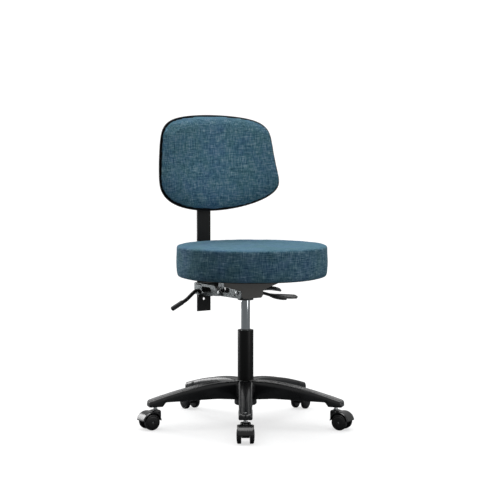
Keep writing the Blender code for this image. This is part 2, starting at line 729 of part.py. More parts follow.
def build_levers(joints):
    """Height, recline and tilt levers, side by side on one shaft."""
    exit_x = BOX_HALF + 0.012
    blades = {
        "height_lever": [(LEVER_X + 0.003, 0, 0, 0.006, 0.005), (exit_x, -0.001, 0, 0.006, 0.005),
                         (0.080, -0.013, -0.008, 0.010, 0.006), (0.105, -0.018, -0.018, 0.020, 0.006),
                         (0.140, -0.021, -0.025, 0.022, 0.006), (0.158, -0.021, -0.027, 0.015, 0.005)],
        "recline_lever": [(LEVER_X + 0.003, 0, 0, 0.006, 0.005), (exit_x, 0, 0.0005, 0.006, 0.005),
                          (0.078, -0.003, 0.004, 0.012, 0.006), (0.105, -0.006, 0.006, 0.020, 0.006),
                          (0.135, -0.008, 0.002, 0.020, 0.006), (0.154, -0.008, -0.003, 0.014, 0.005)],
        "tilt_lever": [(LEVER_X + 0.003, 0, 0, 0.006, 0.005), (exit_x, 0.001, -0.0005, 0.006, 0.005),
                       (0.090, 0.004, -0.010, 0.009, 0.006), (0.130, 0.000, -0.020, 0.014, 0.006),
                       (0.180, -0.010, -0.026, 0.022, 0.006), (0.222, -0.016, -0.029, 0.018, 0.005)],
    }
    for number, (node, stations) in enumerate(blades.items()):
        y = lever_y(number)
        points = [(px, y + dy, LEVER_Z + dz, width, thick) for px, dy, dz, width, thick in stations]
        lever = join(lever_hub(number), paddle(f"blade_{number}", points))
        if node == "height_lever":
            half = LEVER_WIDTH / 2
            over = CYLINDER_TOP + BUTTON_PROUD + GAP
            join(lever, box("web", (LEVER_X - 0.003, LEVER_X + 0.003), (y - half, y + half),
                            (LEVER_Z, over + TONGUE)),
                 box("tongue", (-BUTTON_RADIUS, LEVER_X + 0.003), (-BUTTON_RADIUS, y + half),
                     (over, over + TONGUE)))
        bore = rod(f"hub_bore_{number}", LEVER_SHAFT_RADIUS + GAP, at(LEVER_X, y - PAST * 2, LEVER_Z),
                   at(LEVER_X, y + PAST * 2, LEVER_Z))
        cut(lever, bore)
        finish(lever, node, "dark_steel", joints[node])


def build_pan(seat):
    """The pressed seat pan: top plate, two side walls and a winged front plate."""
    top_low = PAN_TOP - SHEET
    pan = box("pan", (-PAN_HALF, PAN_HALF), (PAN_FRONT, PAN_REAR), (top_low, PAN_TOP))
    walls_top = PAN_TOP - SHEET / 2
    front_in = BOX_FRONT + SHEET / 2
    wall = [(front_in, BOX_BOTTOM + NOSE_CUT), (front_in, walls_top), (BOX_REAR, walls_top),
            (BOX_REAR, BOX_BOTTOM + 0.006), (BOX_REAR - 0.006, BOX_BOTTOM),
            (front_in + NOSE_CUT / 2, BOX_BOTTOM)]
    oval = slot_outline(OVAL_Y, OVAL_Z, OVAL_LENGTH, OVAL_HEIGHT)
    window_length = LEVER_PITCH * 2 + LEVER_WIDTH + 0.010
    window = slot_outline(lever_y(1), LEVER_Z, window_length + 0.004, WINDOW_HEIGHT)
    middle = BOX_HALF - SHEET / 2
    right = flat("wall_right", [wall, oval], SHEET, "YZ", -middle)
    left = flat("wall_left", [wall, window], SHEET, "YZ", middle)
    right_half = [(BOX_HALF - NOSE_CUT, BOX_BOTTOM), (BOX_HALF, BOX_BOTTOM + NOSE_CUT),
                  (BOX_HALF, WING_LOW), (WING_HALF, WING_HIGH), (WING_HALF + 0.005, walls_top)]
    front = right_half + [(-x, z) for x, z in right_half[::-1]]
    nose = flat("front", [front], SHEET, "XZ", BOX_FRONT)
    join(pan, right, left, nose)
    for side, label in ((-1, "right"), (1, "left")):
        inside = at(side * (BOX_HALF - SHEET - 0.002), TILT_Y, TILT_Z)
        outside = at(side * (BOX_HALF + 0.002), TILT_Y, TILT_Z)
        cut(pan, rod(f"pan_pin_hole_{label}", TILT_PIN_RADIUS + GAP, inside, outside))
    cut(pan, rod("pan_arm_hole", ARM_PIN_RADIUS + GAP, at(-BOX_HALF - PAST, ARM_PIVOT_Y, ARM_PIVOT_Z),
                 at(BOX_HALF + PAST, ARM_PIVOT_Y, ARM_PIVOT_Z)))
    for number, (x, y) in enumerate(bolt_places()):
        cut(pan, rod(f"pan_bolt_hole_{number}", BOLT_RADIUS + GAP, at(x, y, top_low - PAST),
                     at(x, y, PAN_TOP + PAST), 12))
    finish(pan, "seat_pan", "zinc_steel", seat)
    for side, label in ((-1, "right"), (1, "left")):
        shank = rod(f"shank_{label}", TILT_PIN_RADIUS, at(side * pin_inner(), TILT_Y, TILT_Z),
                    at(side * (BOX_HALF + 0.001), TILT_Y, TILT_Z))
        head = rod(f"head_{label}", TILT_HEAD_RADIUS, at(side * (BOX_HALF + GAP), TILT_Y, TILT_Z),
                   at(side * (BOX_HALF + 0.0028), TILT_Y, TILT_Z), 20)
        finish(join(shank, head), f"tilt_pin_{label}", "bright_steel", seat)


def bolt_places():
    x = PAN_HALF - BOLT_EDGE
    return [(side * x, y) for side in (-1, 1) for y in (PAN_FRONT + BOLT_EDGE, PAN_REAR - BOLT_EDGE)]


def build_seat(seat):
    """The plywood board, the cushion that is upholstered over it and the four bolts."""
    board_low = SEAT_BOTTOM
    board_top = board_low + BOARD_THICKNESS
    centre = at(0, SEAT_Y, 0)
    board = turned("board", [(0, board_top), (BOARD_RADIUS, board_top), (BOARD_RADIUS, board_low),
                             (0, board_low)], SEAT_ROUND, False, centre)
    bolt_top = board_top - 0.003
    for number, (x, y) in enumerate(bolt_places()):
        cut(board, rod(f"board_hole_{number}", BOLT_RADIUS + GAP, at(x, y, board_low - PAST),
                       at(x, y, bolt_top + GAP), 12))
        head_top = PAN_TOP - SHEET - GAP
        bolt = rod(f"bolt_shank_{number}", BOLT_RADIUS, at(x, y, head_top - BOLT_HEAD / 2),
                   at(x, y, bolt_top), 12)
        join(bolt, rod(f"bolt_head_{number}", BOLT_HEAD_RADIUS, at(x, y, head_top - BOLT_HEAD),
                       at(x, y, head_top), 6))
        finish(bolt, f"seat_bolt_{number + 1}", "bright_steel", seat)
    finish(board, "seat_board", "plywood", seat)
    top = SEAT_BOTTOM + SEAT_THICKNESS
    low = SEAT_BOTTOM
    rim = SEAT_RADIUS
    recess = BOARD_RADIUS + GAP
    lip = (recess + rim) / 2
    profile = [(0, top), (rim * 0.6, top - 0.001), (rim - 0.024, top - 0.003),
               (rim - 0.011, top - 0.0055), (rim - 0.003, top - 0.013), (rim, top - 0.026),
               (rim, low + 0.026), (rim - 0.0025, low + 0.011), (rim - 0.008, low + 0.003),
               (lip, low), (recess, low), (recess, board_top + GAP), (0, board_top + GAP)]
    cushion = turned("cushion", profile, SEAT_ROUND, False, centre)
    finish(cushion, "seat_cushion", "teal_fabric", seat)


def plate_rear():
    """Rear end of the back arm's plates, a little in front of the post."""
    return POST_Y - PLATE_SHY


def build_back_arm(arm, lock):
    """The channel that carries the post: two plates with a web, its pin, clamp and lock lever."""
    rear = plate_rear()
    outline = arc(ARM_PIVOT_Y, ARM_PIVOT_Z, ARM_NOSE, 90, 255, 8)
    outline += [(ARM_PIVOT_Y + 0.020, PLATE_BOTTOM), (rear, PLATE_BOTTOM - 0.002),
                (rear, PLATE_TOP), (WEB_FRONT + 0.012, PLATE_TOP)]
    hole = slot_outline(ARM_OVAL_Y, ARM_OVAL_Z, ARM_OVAL_LENGTH, ARM_OVAL_HEIGHT)
    inside = BOX_HALF + GAP * 2
    middle = inside + SHEET / 2
    frame = flat("plate_right", [outline, hole], SHEET, "YZ", -middle)
    join(frame, flat("plate_left", [outline, hole], SHEET, "YZ", middle))
    web_low = PLATE_BOTTOM + 0.0005
    join(frame, box("web_plate", (-middle, middle), (WEB_FRONT, POST_Y - CLAMP_REACH - GAP),
                    (web_low, web_low + SHEET)))
    tab_reach = LOCK_X - LOCK_ROD_RADIUS - 0.003
    tab_half = LOCK_ROD_RADIUS + 0.005
    join(frame, box("lock_tab", (tab_reach, -middle), (LOCK_Y - tab_half, LOCK_Y + tab_half),
                    (web_low, web_low + SHEET)))
    cut(frame, rod("lock_hole", LOCK_ROD_RADIUS + GAP, at(LOCK_X, LOCK_Y, web_low - PAST),
                   at(LOCK_X, LOCK_Y, web_low + PAST), 20))
    cut(frame, rod("arm_pin_hole", ARM_PIN_RADIUS + GAP, at(-BOX_HALF - PAST, ARM_PIVOT_Y, ARM_PIVOT_Z),
                   at(BOX_HALF + PAST, ARM_PIVOT_Y, ARM_PIVOT_Z)))
    finish(frame, "back_arm", "zinc_steel", arm)
    out = middle + SHEET / 2 + 0.0015
    pin = rod("arm_pin", ARM_PIN_RADIUS, at(-out, ARM_PIVOT_Y, ARM_PIVOT_Z),
              at(out, ARM_PIVOT_Y, ARM_PIVOT_Z))
    finish(pin, "arm_pin", "bright_steel", arm)
    half = inside - GAP
    height = (CLAMP_BOTTOM, PLATE_TOP - 0.001)
    clamp = box("clamp", (-half, half), (POST_Y - CLAMP_REACH, rear - GAP), height)
    sleeve_half = POST_WIDTH / 2 + CLAMP_SIDE
    sleeve_rear = POST_Y + POST_THICKNESS + GAP + CLAMP_WALL
    join(clamp, box("sleeve", (-sleeve_half, sleeve_half), (rear - CLAMP_WALL, sleeve_rear), height))
    slot_half = POST_WIDTH / 2 + GAP
    cut(clamp, box("clamp_slot", (-slot_half, slot_half), (POST_Y - GAP, POST_Y + POST_THICKNESS + GAP),
                   (CLAMP_BOTTOM - PAST, PLATE_TOP + PAST)))
    finish(clamp, "post_clamp", "zinc_steel", arm)
    build_lock_lever(lock)


def build_lock_lever(lock):
    """A bent rod on an upright stud, with a rubber grip on its end."""
    top = LOCK_BOTTOM + LOCK_RISE
    head = at(LOCK_X, LOCK_Y, top)
    reach = Vector(LOCK_REACH)
    tip = head + reach
    flat_run = Vector((reach.x, reach.y, 0)).normalized()
    points = [at(LOCK_X, LOCK_Y, LOCK_BOTTOM), head - Vector((0, 0, 0.008)),
              head - Vector((0, 0, 0.0035)) + flat_run * 0.0015,
              head + flat_run * 0.006 + Vector((0, 0, 0.0008)),
              head + flat_run * 0.013 + Vector((0, 0, 0.0006)),
              head + flat_run * 0.021 + Vector((0, 0, -0.0035)), head + reach * 0.36, tip]
    lever = wire("lock_rod", points, LOCK_ROD_RADIUS)
    finish(lever, "back_lock_lever", "black_powder_coat", lock)
    inner = LOCK_ROD_RADIUS + GAP
    outer = inner + GRIP_WALL
    run = (tip - (head + reach * 0.36)).normalized()
    grip = turned("grip", [(0, 0.004), (outer - 0.0015, 0.004), (outer, 0.0015), (outer, -GRIP_LENGTH),
                           (inner, -GRIP_LENGTH), (inner, GAP), (0, GAP)], 20, False, Vector())
    grip.data.transform(Matrix.Translation(tip) @ run.to_track_quat("Z", "Y").to_matrix().to_4x4())
    finish(grip, "back_lock_grip", "rubber", lock)


# ---------------------------------------------------------------- backrest

def back_place(u, v, n):
    """A place in the backrest's own plane: u across, v up the slope, n forward of the post."""
    y = POST_Y + v * sin(BACK_TILT) - n * cos(BACK_TILT)
    z = BEND_Z + v * cos(BACK_TILT) + n * sin(BACK_TILT)
    return at(u, y, z)


def back_outline(inset):
    """The backrest's outline about its middle: a superellipse with arched upper and lower
    edges that narrows upward, pulled in by inset."""
    points = []
    for i in range(OUTLINE_TRIAL):
        turn = 2 * pi * i / OUTLINE_TRIAL
        power = CORNER_TOP if sin(turn) > 0 else CORNER_BOTTOM
        camber = CAMBER_TOP if sin(turn) > 0 else CAMBER_BOTTOM
        reach = (abs(cos(turn)) ** power + abs(sin(turn)) ** power) ** (-1 / power)
        across = reach * cos(turn)
        v = (BACK_HALF_HEIGHT - inset) * reach * sin(turn) * (1 - camber * across ** 2)
        half = BACK_HALF_WIDTH - inset - BACK_TAPER * (v - BACK_WIDEST)
        points.append((half * across, v))
    return spread_evenly(points, OUTLINE_STEPS)


def spread_evenly(points, count):
    """Places at even steps along a closed outline."""
    loop = points + points[:1]
    lengths = [dist(a, b) for a, b in zip(loop, loop[1:])]
    step = sum(lengths) / count
    done = 0.0
    even = []
    for (a, b), length in zip(zip(loop, loop[1:]), lengths):
        while len(even) < count and len(even) * step <= done + length:
            share = (len(even) * step - done) / length
            even.append((a[0] + (b[0] - a[0]) * share, a[1] + (b[1] - a[1]) * share))
        done += length
    return even


def sheet_depth(u, v):
    """How far the curved back stands forward at a place measured from its middle."""
    return BACK_CURVE - sqrt(BACK_CURVE ** 2 - u ** 2) + BACK_DISH * v ** 2


def crown_depth(share, thickness):
    """Thickness of the pad at a share of the way from its middle to its edge."""
    return max(thickness * (1 - share ** 3.2) ** 0.40, PAD_EDGE)


def back_sheet(name, inset, rear, thickness, crowned):
    """A sheet over the backrest's outline, even or crowned toward the sitter."""
    outline = back_outline(inset)
    shares = [k / SHEET_RINGS for k in range(1, SHEET_RINGS + 1)]
    fine = sorted(shares + [0.91, 0.97]) if crowned else shares

    def ring(share, depth):
        return [back_place(u * share, v * share + BACK_MIDDLE,
                           rear + sheet_depth(u * share, v * share) + depth) for u, v in outline]

    front = [ring(share, crown_depth(share, thickness) if crowned else thickness)
             for share in fine]
    back = [ring(share, 0.0) for share in shares]
    return loft(name, front + back[::-1])


def screw_places():
    return (SCREW_LOW, SCREW_HIGH)


def build_backrest(back):
    """The bent steel post, the mounting plate, the moulded shell, the board and the cushion."""
    slope_end = back_place(0, POST_END, 0)
    front_edge = [(POST_Y, POST_BOTTOM), (POST_Y, BEND_Z), (slope_end.y - COLUMN_Y, slope_end.z)]
    rear_end = back_place(0, POST_END, -POST_THICKNESS)
    bend = POST_THICKNESS * (1 - cos(BACK_TILT)) / sin(BACK_TILT)
    rear_edge = [(rear_end.y - COLUMN_Y, rear_end.z), (POST_Y + POST_THICKNESS, BEND_Z - bend),
                 (POST_Y + POST_THICKNESS, POST_BOTTOM)]
    post = flat("post", [front_edge + rear_edge], POST_WIDTH, "YZ", 0)
    cut(post, rod("post_hole", POST_HOLE_RADIUS, at(0, POST_Y - PAST, POST_HOLE_Z),
                  at(0, POST_Y + POST_THICKNESS + PAST, POST_HOLE_Z), 20))
    plate_front = GAP + BACK_PLATE
    shell_rear = plate_front + GAP * 2
    board_rear = shell_rear + SHELL_THICKNESS + SHEET_GAP
    pad_rear = board_rear + BACK_BOARD + SHEET_GAP
    plate_ring = []
    for n in (GAP, plate_front):
        plate_ring.append([back_place(u, v, n) for u, v in (
            (-BACK_PLATE_HALF, BACK_PLATE_LOW), (BACK_PLATE_HALF, BACK_PLATE_LOW),
            (BACK_PLATE_HALF, BACK_PLATE_HIGH), (-BACK_PLATE_HALF, BACK_PLATE_HIGH))])
    plate = loft("plate", plate_ring)
    shell = back_sheet("shell", 0.0, shell_rear, SHELL_THICKNESS, False)
    board = back_sheet("board", BOARD_INSET, board_rear, BACK_BOARD, False)
    pad = back_sheet("pad", PAD_INSET, pad_rear, BACK_PADDING, True)
    screw_tip = board_rear + BACK_BOARD * 0.6
    for number, v in enumerate(screw_places()):
        outside = back_place(0, v, -POST_THICKNESS - PAST)
        inside = back_place(0, v, screw_tip + GAP)
        for target, label in ((post, "post"), (plate, "plate"), (shell, "shell"), (board, "board")):
            cut(target, rod(f"{label}_screw_hole_{number}", SCREW_RADIUS + GAP, outside, inside, 12))
        head_face = -POST_THICKNESS - GAP
        screw = rod(f"screw_shank_{number}", SCREW_RADIUS, back_place(0, v, head_face - SCREW_HEAD / 2),
                    back_place(0, v, screw_tip), 12)
        join(screw, rod(f"screw_head_{number}", SCREW_HEAD_RADIUS,
                        back_place(0, v, head_face - SCREW_HEAD), back_place(0, v, head_face)))
        finish(screw, f"back_screw_{number + 1}", "bright_steel", back)
    finish(post, "back_post", "black_powder_coat", back)
    finish(plate, "back_plate", "dark_steel", back)
    finish(shell, "back_shell", "black_plastic", back)
    finish(board, "back_board", "plywood", back)
    finish(pad, "back_cushion", "teal_fabric", back)


def main():
    start()
    base = joint_empty("base", at(0, 0, 0))
    rotor = joint_empty("seat_swivel_axis", at(0, 0, HUB_BOTTOM))
    control = joint_empty("seat_lift_axis", at(0, 0, CYLINDER_BOTTOM))
    button = joint_empty("release_button_axis", at(0, 0, CYLINDER_TOP))
    seat = joint_empty("seat_tilt_axis", at(0, TILT_Y, TILT_Z))
    arm = joint_empty("back_tilt_axis", at(0, ARM_PIVOT_Y, ARM_PIVOT_Z))
    lock = joint_empty("back_lock_axis", at(LOCK_X, LOCK_Y, LOCK_BOTTOM))
    back = joint_empty("back_height_axis", at(0, POST_Y + POST_THICKNESS / 2, POST_BOTTOM))
    levers = {}
    for number, node in enumerate(("height_lever", "recline_lever", "tilt_lever")):
        levers[node] = joint_empty(f"{node}_axis", at(LEVER_X, lever_y(number), LEVER_Z))
    build_base(base)
    build_casters(base)
    build_column(base, rotor, control)
    build_control(control, button)
    build_levers(levers)
    build_pan(seat)
    build_seat(seat)
    build_back_arm(arm, lock)
    build_backrest(back)


main()
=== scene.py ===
"""Looks of the dentist stool: upholstery, mouldings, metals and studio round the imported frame.

Metres, +Z up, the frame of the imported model. Every new piece is a surface worked out with
numpy and placed from the frame's own boxes and joints.
"""

import json
from math import atan2, cos, pi, radians, sin

import bmesh
import bpy
import numpy as np
from mathutils import Matrix, Vector


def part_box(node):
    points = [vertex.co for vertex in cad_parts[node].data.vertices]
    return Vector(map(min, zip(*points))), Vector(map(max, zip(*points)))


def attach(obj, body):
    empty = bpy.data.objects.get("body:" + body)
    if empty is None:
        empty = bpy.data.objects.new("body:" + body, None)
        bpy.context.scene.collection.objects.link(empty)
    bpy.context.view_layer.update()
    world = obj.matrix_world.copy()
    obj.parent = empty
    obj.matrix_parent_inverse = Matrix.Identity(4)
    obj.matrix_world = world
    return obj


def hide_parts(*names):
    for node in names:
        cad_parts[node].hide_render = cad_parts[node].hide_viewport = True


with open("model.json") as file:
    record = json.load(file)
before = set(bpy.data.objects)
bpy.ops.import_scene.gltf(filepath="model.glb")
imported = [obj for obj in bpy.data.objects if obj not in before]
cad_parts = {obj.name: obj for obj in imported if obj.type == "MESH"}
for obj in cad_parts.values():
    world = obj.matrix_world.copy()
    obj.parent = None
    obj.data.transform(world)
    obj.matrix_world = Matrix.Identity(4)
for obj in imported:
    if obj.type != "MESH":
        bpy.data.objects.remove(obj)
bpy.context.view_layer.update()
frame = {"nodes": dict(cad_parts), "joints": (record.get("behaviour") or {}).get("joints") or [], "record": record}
NODES = frame["nodes"]
JOINTS = {joint["name"]: joint for joint in frame["joints"]}
BODY_OF = {name: body for body, names in frame["record"]["behaviour"]["bodies"].items()
           for name in names}
SLOT_OF = {row["node"]: row["material_slot"] for row in frame["record"]["subparts"]}

MM = 0.001


def low(node):
    """The least x, y and z of a node."""
    return np.array(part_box(node)[0])


def high(node):
    """The greatest x, y and z of a node."""
    return np.array(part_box(node)[1])


def middle(node):
    """The middle of a node's box."""
    return (low(node) + high(node)) / 2


AXIS = middle("gas_cylinder") * (1, 1, 0)          # the column's centre line


# ---------------------------------------------------------------- camera and studio

CAMERA_DISTANCE = 4.732      # level distance from the column
CAMERA_HEIGHT = 0.930
CAMERA_AZIMUTH = -35.99      # degrees, 0 looks along +Y
CAMERA_PITCH = 4.31          # degrees below level
CAMERA_YAW = 0.117
CAMERA_LENS = 112.15
SENSOR = 36.0                # mm across

FILL_GLOW = 0.10             # what lights the stool from all round
WALL_GLOW = 0.42             # what its reflections see
BACKDROP_GLOW = 1.1          # what stands white behind the floor
FLOOR_GLOW = 1.10            # keeps the open floor white to the camera
FLOOR_PAPER = 0.40           # share of the floor's light that takes shadows
FLOOR_SIZE = 40.0
STAGE_HEIGHT = 0.6           # the soft boxes face this height on the column's line


def build_camera():
    """A long lens that looks a little down at the stool from its right front."""
    turn = radians(CAMERA_AZIMUTH)
    data = bpy.data.cameras.new("camera")
    data.lens = CAMERA_LENS
    data.sensor_width = SENSOR
    data.clip_end = 2.5 * FLOOR_SIZE
    camera = bpy.data.objects.new("camera", data)
    back = Vector((sin(turn), -cos(turn), 0))
    camera.location = Vector(AXIS) + back * CAMERA_DISTANCE + Vector((0, 0, CAMERA_HEIGHT))
    heading = turn + radians(CAMERA_YAW)
    pitch = radians(CAMERA_PITCH)
    look = Vector((-sin(heading) * cos(pitch), cos(heading) * cos(pitch), -sin(pitch)))
    camera.rotation_euler = look.to_track_quat("-Z", "Y").to_euler()
    bpy.context.scene.collection.objects.link(camera)
    bpy.context.scene.camera = camera


def add_node(tree, kind, settings, inputs):
    """Add one shader node: its own settings, then each input as a value or a link."""
    made = tree.nodes.new(kind)
    for name, value in settings.items():
        setattr(made, name, value)
    for name, value in inputs.items():
        if isinstance(value, bpy.types.NodeSocket):
            tree.links.new(value, made.inputs[name])
        else:
            made.inputs[name].default_value = value
    return made


def linear(colour, alpha=1.0):
    """An sRGB hex colour as linear red, green, blue and alpha."""
    parts = np.array([int(colour[i:i + 2], 16) / 255 for i in (0, 2, 4)])
    bright = np.where(parts < 0.04045, parts / 12.92, ((parts + 0.055) / 1.055) ** 2.4)
    return (*bright, alpha)


def area_light(name, place, target, width, height, power):
    """A rectangular lamp of width by height metres at a place, facing its target."""
    data = bpy.data.lights.new(name, "AREA")
    data.shape = "RECTANGLE"
    data.size = width
    data.size_y = height
    data.energy = power
    lamp = bpy.data.objects.new(name, data)
    lamp.location = Vector(place)
    lamp.rotation_euler = (Vector(target) - lamp.location).to_track_quat("-Z", "Y").to_euler()
    bpy.context.scene.collection.objects.link(lamp)
    return lamp


def build_world():
    """A faint even fill, pale walls for the reflections and a white backdrop."""
    world = bpy.data.worlds.new("studio")
    bpy.context.scene.world = world
    world.use_nodes = True
    tree = world.node_tree
    tree.nodes.clear()
    path = add_node(tree, "ShaderNodeLightPath", {}, {})
    fill, backdrop, walls = (
        add_node(tree, "ShaderNodeBackground", {}, {"Color": linear(colour), "Strength": glow})
        for colour, glow in (("E6EEF8", FILL_GLOW), ("FFFFFF", BACKDROP_GLOW),
                             ("FFFFFF", WALL_GLOW)))
    lit = add_node(tree, "ShaderNodeMixShader", {},
                   {0: path.outputs["Is Glossy Ray"], 1: fill.outputs[0], 2: walls.outputs[0]})
    both = add_node(tree, "ShaderNodeMixShader", {},
                    {0: path.outputs["Is Camera Ray"], 1: lit.outputs[0], 2: backdrop.outputs[0]})
    add_node(tree, "ShaderNodeOutputWorld", {}, {"Surface": both.outputs[0]})


def build_lights():
    """A broad soft sky, two upright soft boxes, and a small gridded one on the backrest."""
    sky = bpy.data.lights.new("overhead_sky", "SUN")
    sky.energy = 3.25
    sky.angle = radians(70)
    lamp = bpy.data.objects.new("overhead_sky", sky)
    lamp.location = (0, 0, 3)
    lamp.rotation_euler = (radians(-6), radians(3), 0)
    bpy.context.scene.collection.objects.link(lamp)
    stage = Vector(AXIS) + Vector((0, 0, STAGE_HEIGHT))
    area_light("soft_box_rear", stage + Vector((-1.0, 2.6, 0.35)), stage, 0.9, 1.8, 32)
    area_light("soft_box_front", stage + Vector((0.9, -2.5, 0.2)), stage, 0.9, 1.8, 12)
    back = middle("back_cushion")
    grid = area_light("gridded_box", back + (-0.5, -2.4, 1.0), back + (0, 0, 0.10), 0.3, 0.3, 0.12)
    grid.data.spread = radians(14)


def build_floor():
    """Seamless white paper: white to the camera but for soft shadows, darker to all other
    rays, so that it throws little light up under the stool."""
    mesh = bpy.data.meshes.new("floor")
    half = FLOOR_SIZE / 2
    mesh.from_pydata([(-half, -half, 0), (half, -half, 0), (half, half, 0), (-half, half, 0)],
                     [], [(0, 1, 2, 3)])
    floor = bpy.data.objects.new("floor", mesh)
    bpy.context.scene.collection.objects.link(floor)
    skin = bpy.data.materials.new("white_seamless_paper")
    skin.use_nodes = True
    tree = skin.node_tree
    tree.nodes.clear()
    path = add_node(tree, "ShaderNodeLightPath", {}, {})
    paper = add_node(tree, "ShaderNodeBsdfDiffuse", {}, {"Color": linear("FFFFFF")})
    glow = add_node(tree, "ShaderNodeEmission", {},
                    {"Color": linear("FFFFFF"), "Strength": FLOOR_GLOW})
    shade = add_node(tree, "ShaderNodeBsdfDiffuse", {}, {"Color": linear("6A6C6E")})
    seen = add_node(tree, "ShaderNodeMixShader", {},
                    {0: FLOOR_PAPER, 1: glow.outputs[0], 2: paper.outputs[0]})
    both = add_node(tree, "ShaderNodeMixShader", {},
                    {0: path.outputs["Is Camera Ray"], 1: shade.outputs[0], 2: seen.outputs[0]})
    add_node(tree, "ShaderNodeOutputMaterial", {}, {"Surface": both.outputs[0]})
    mesh.materials.append(skin)
    bpy.context.scene.view_settings.view_transform = "Standard"


# ---------------------------------------------------------------- materials

def blank(name, colour, roughness, metallic=0.0):
    """A material with one Principled shader, its tree and the shader."""
    skin = bpy.data.materials.new(name)
    skin.use_nodes = True
    tree = skin.node_tree
    shader = tree.nodes["Principled BSDF"]
    shader.inputs["Base Color"].default_value = linear(colour)
    shader.inputs["Roughness"].default_value = roughness
    shader.inputs["Metallic"].default_value = metallic
    return skin, tree, shader


def object_noise(tree, size, detail, stretch=(1, 1, 1)):
    """Noise in the piece's own place, its features about size metres, stretched by axis."""
    place = add_node(tree, "ShaderNodeTexCoord", {}, {})
    scale = tuple(1 / (size * s) for s in stretch)
    turned = add_node(tree, "ShaderNodeMapping", {},
                      {"Vector": place.outputs["Object"], "Scale": scale})
    return add_node(tree, "ShaderNodeTexNoise", {},
                    {"Vector": turned.outputs[0], "Scale": 1.0, "Detail": detail,
                     "Roughness": 0.6}).outputs["Fac"]


def ramp(tree, fac, stops):
    """A colour ramp through (position, hex colour) stops."""
    made = add_node(tree, "ShaderNodeValToRGB", {}, {"Fac": fac})
    band = made.color_ramp
    while len(band.elements) < len(stops):
        band.elements.new(0.5)
    for element, (place, colour) in zip(band.elements, stops):
        element.position = place
        element.color = linear(colour)
    return made.outputs["Color"]


def spread(tree, fac, least, most):
    """Noise round its middle, stretched between two values."""
    return add_node(tree, "ShaderNodeMapRange", {},
                    {"Value": fac, "From Min": 0.3, "From Max": 0.7,
                     "To Min": least, "To Max": most}).outputs[0]


def bump(tree, shader, height, distance, strength):
    """Tilt the shader's normal by a height pattern that stands distance metres proud."""
    made = add_node(tree, "ShaderNodeBump", {},
                    {"Height": height, "Distance": distance, "Strength": strength})
    tree.links.new(made.outputs[0], shader.inputs["Normal"])


def math_node(tree, operation, first, second):
    """Two values or links put together by one operation."""
    return add_node(tree, "ShaderNodeMath", {"operation": operation},
                    {0: first, 1: second}).outputs[0]


def heathered_weave():
    """Polyester linen-look upholstery cloth, plain woven from slubby two-tone yarn: short
    lighter and darker dashes both ways, dull, with a faint fuzz of light at the edges.

    A yarn is about 0.8 mm, too fine to show at this distance, so the dashes are drawn
    2.8 mm thick and 24 mm long. Level cloth takes the pattern in plan, upright cloth takes it
    round and up, and level cloth shows it at half its contrast, as it is seen at a low slant.
    """
    thick = 2.8 * MM
    dash = 24 * MM
    skin, tree, shader = blank("woven_polyester_linen_look", "5C7B8A", 0.92)
    long_in = dash / thick
    flat_across = object_noise(tree, thick, 2.0, (long_in, long_in, 1))
    flat_down = object_noise(tree, thick, 2.0, (1, 1, long_in))
    top_across = object_noise(tree, thick, 2.0, (long_in, 1, 1))
    top_down = object_noise(tree, thick, 2.0, (1, long_in, 1))
    upward = add_node(tree, "ShaderNodeAttribute", {"attribute_name": "upward"}, {}).outputs["Fac"]
    side = math_node(tree, "ADD", flat_across, flat_down)
    top = math_node(tree, "ADD", top_across, top_down)
    weave = add_node(tree, "ShaderNodeMix", {"data_type": "FLOAT"},
                     {0: upward, 2: side, 3: top}).outputs[0]
    mean = math_node(tree, "MULTIPLY", weave, 0.5)
    calm = math_node(tree, "MULTIPLY", upward, 0.5)
    weave = add_node(tree, "ShaderNodeMix", {"data_type": "FLOAT"},
                     {0: calm, 2: mean, 3: 0.5}).outputs[0]
    yarn = ramp(tree, weave, [(0.36, "284C61"), (0.46, "4B6F82"),
                              (0.54, "5F7F91"), (0.66, "97B3C0")])
    patch = object_noise(tree, 55 * MM, 3.0)
    tint = ramp(tree, patch, [(0.36, "EAF7EF"), (0.5, "F6FFFF"), (0.66, "ECF2FF")])
    colour = add_node(tree, "ShaderNodeMix", {"data_type": "RGBA", "blend_type": "MULTIPLY"},
                      {0: 1.0, 6: yarn, 7: tint}).outputs[2]
    tree.links.new(colour, shader.inputs["Base Color"])
    shader.inputs["Sheen Weight"].default_value = 0.10
    shader.inputs["Sheen Roughness"].default_value = 0.5
    shader.inputs["Sheen Tint"].default_value = linear("BFD4DE")
    shader.inputs["Specular IOR Level"].default_value = 0.12
    fine = object_noise(tree, 0.9 * MM, 1.0)
    height = math_node(tree, "ADD", weave, math_node(tree, "MULTIPLY", fine, 0.5))
    bump(tree, shader, height, 0.9 * MM, 0.55)
    return skin


def moulded(name, colour, roughness, grain, depth, coat=0.0):
    """A moulded plastic: even colour, a fine spark-eroded grain and slight gloss changes."""
    skin, tree, shader = blank(name, colour, roughness)
    dust = object_noise(tree, 60 * MM, 3.0)
    tree.links.new(spread(tree, dust, roughness - 0.05, roughness + 0.07),
                   shader.inputs["Roughness"])
    base = linear(colour)
    lighter = tuple(c * 1.5 + 0.003 for c in base[:3]) + (1.0,)
    mixed = add_node(tree, "ShaderNodeMix", {"data_type": "RGBA"},
                     {0: object_noise(tree, 25 * MM, 4.0), 6: base, 7: lighter})
    tree.links.new(mixed.outputs[2], shader.inputs["Base Color"])
    shader.inputs["Coat Weight"].default_value = coat
    shader.inputs["Coat Roughness"].default_value = 0.12
    bump(tree, shader, object_noise(tree, grain, 2.0), depth, 0.6)
    return skin


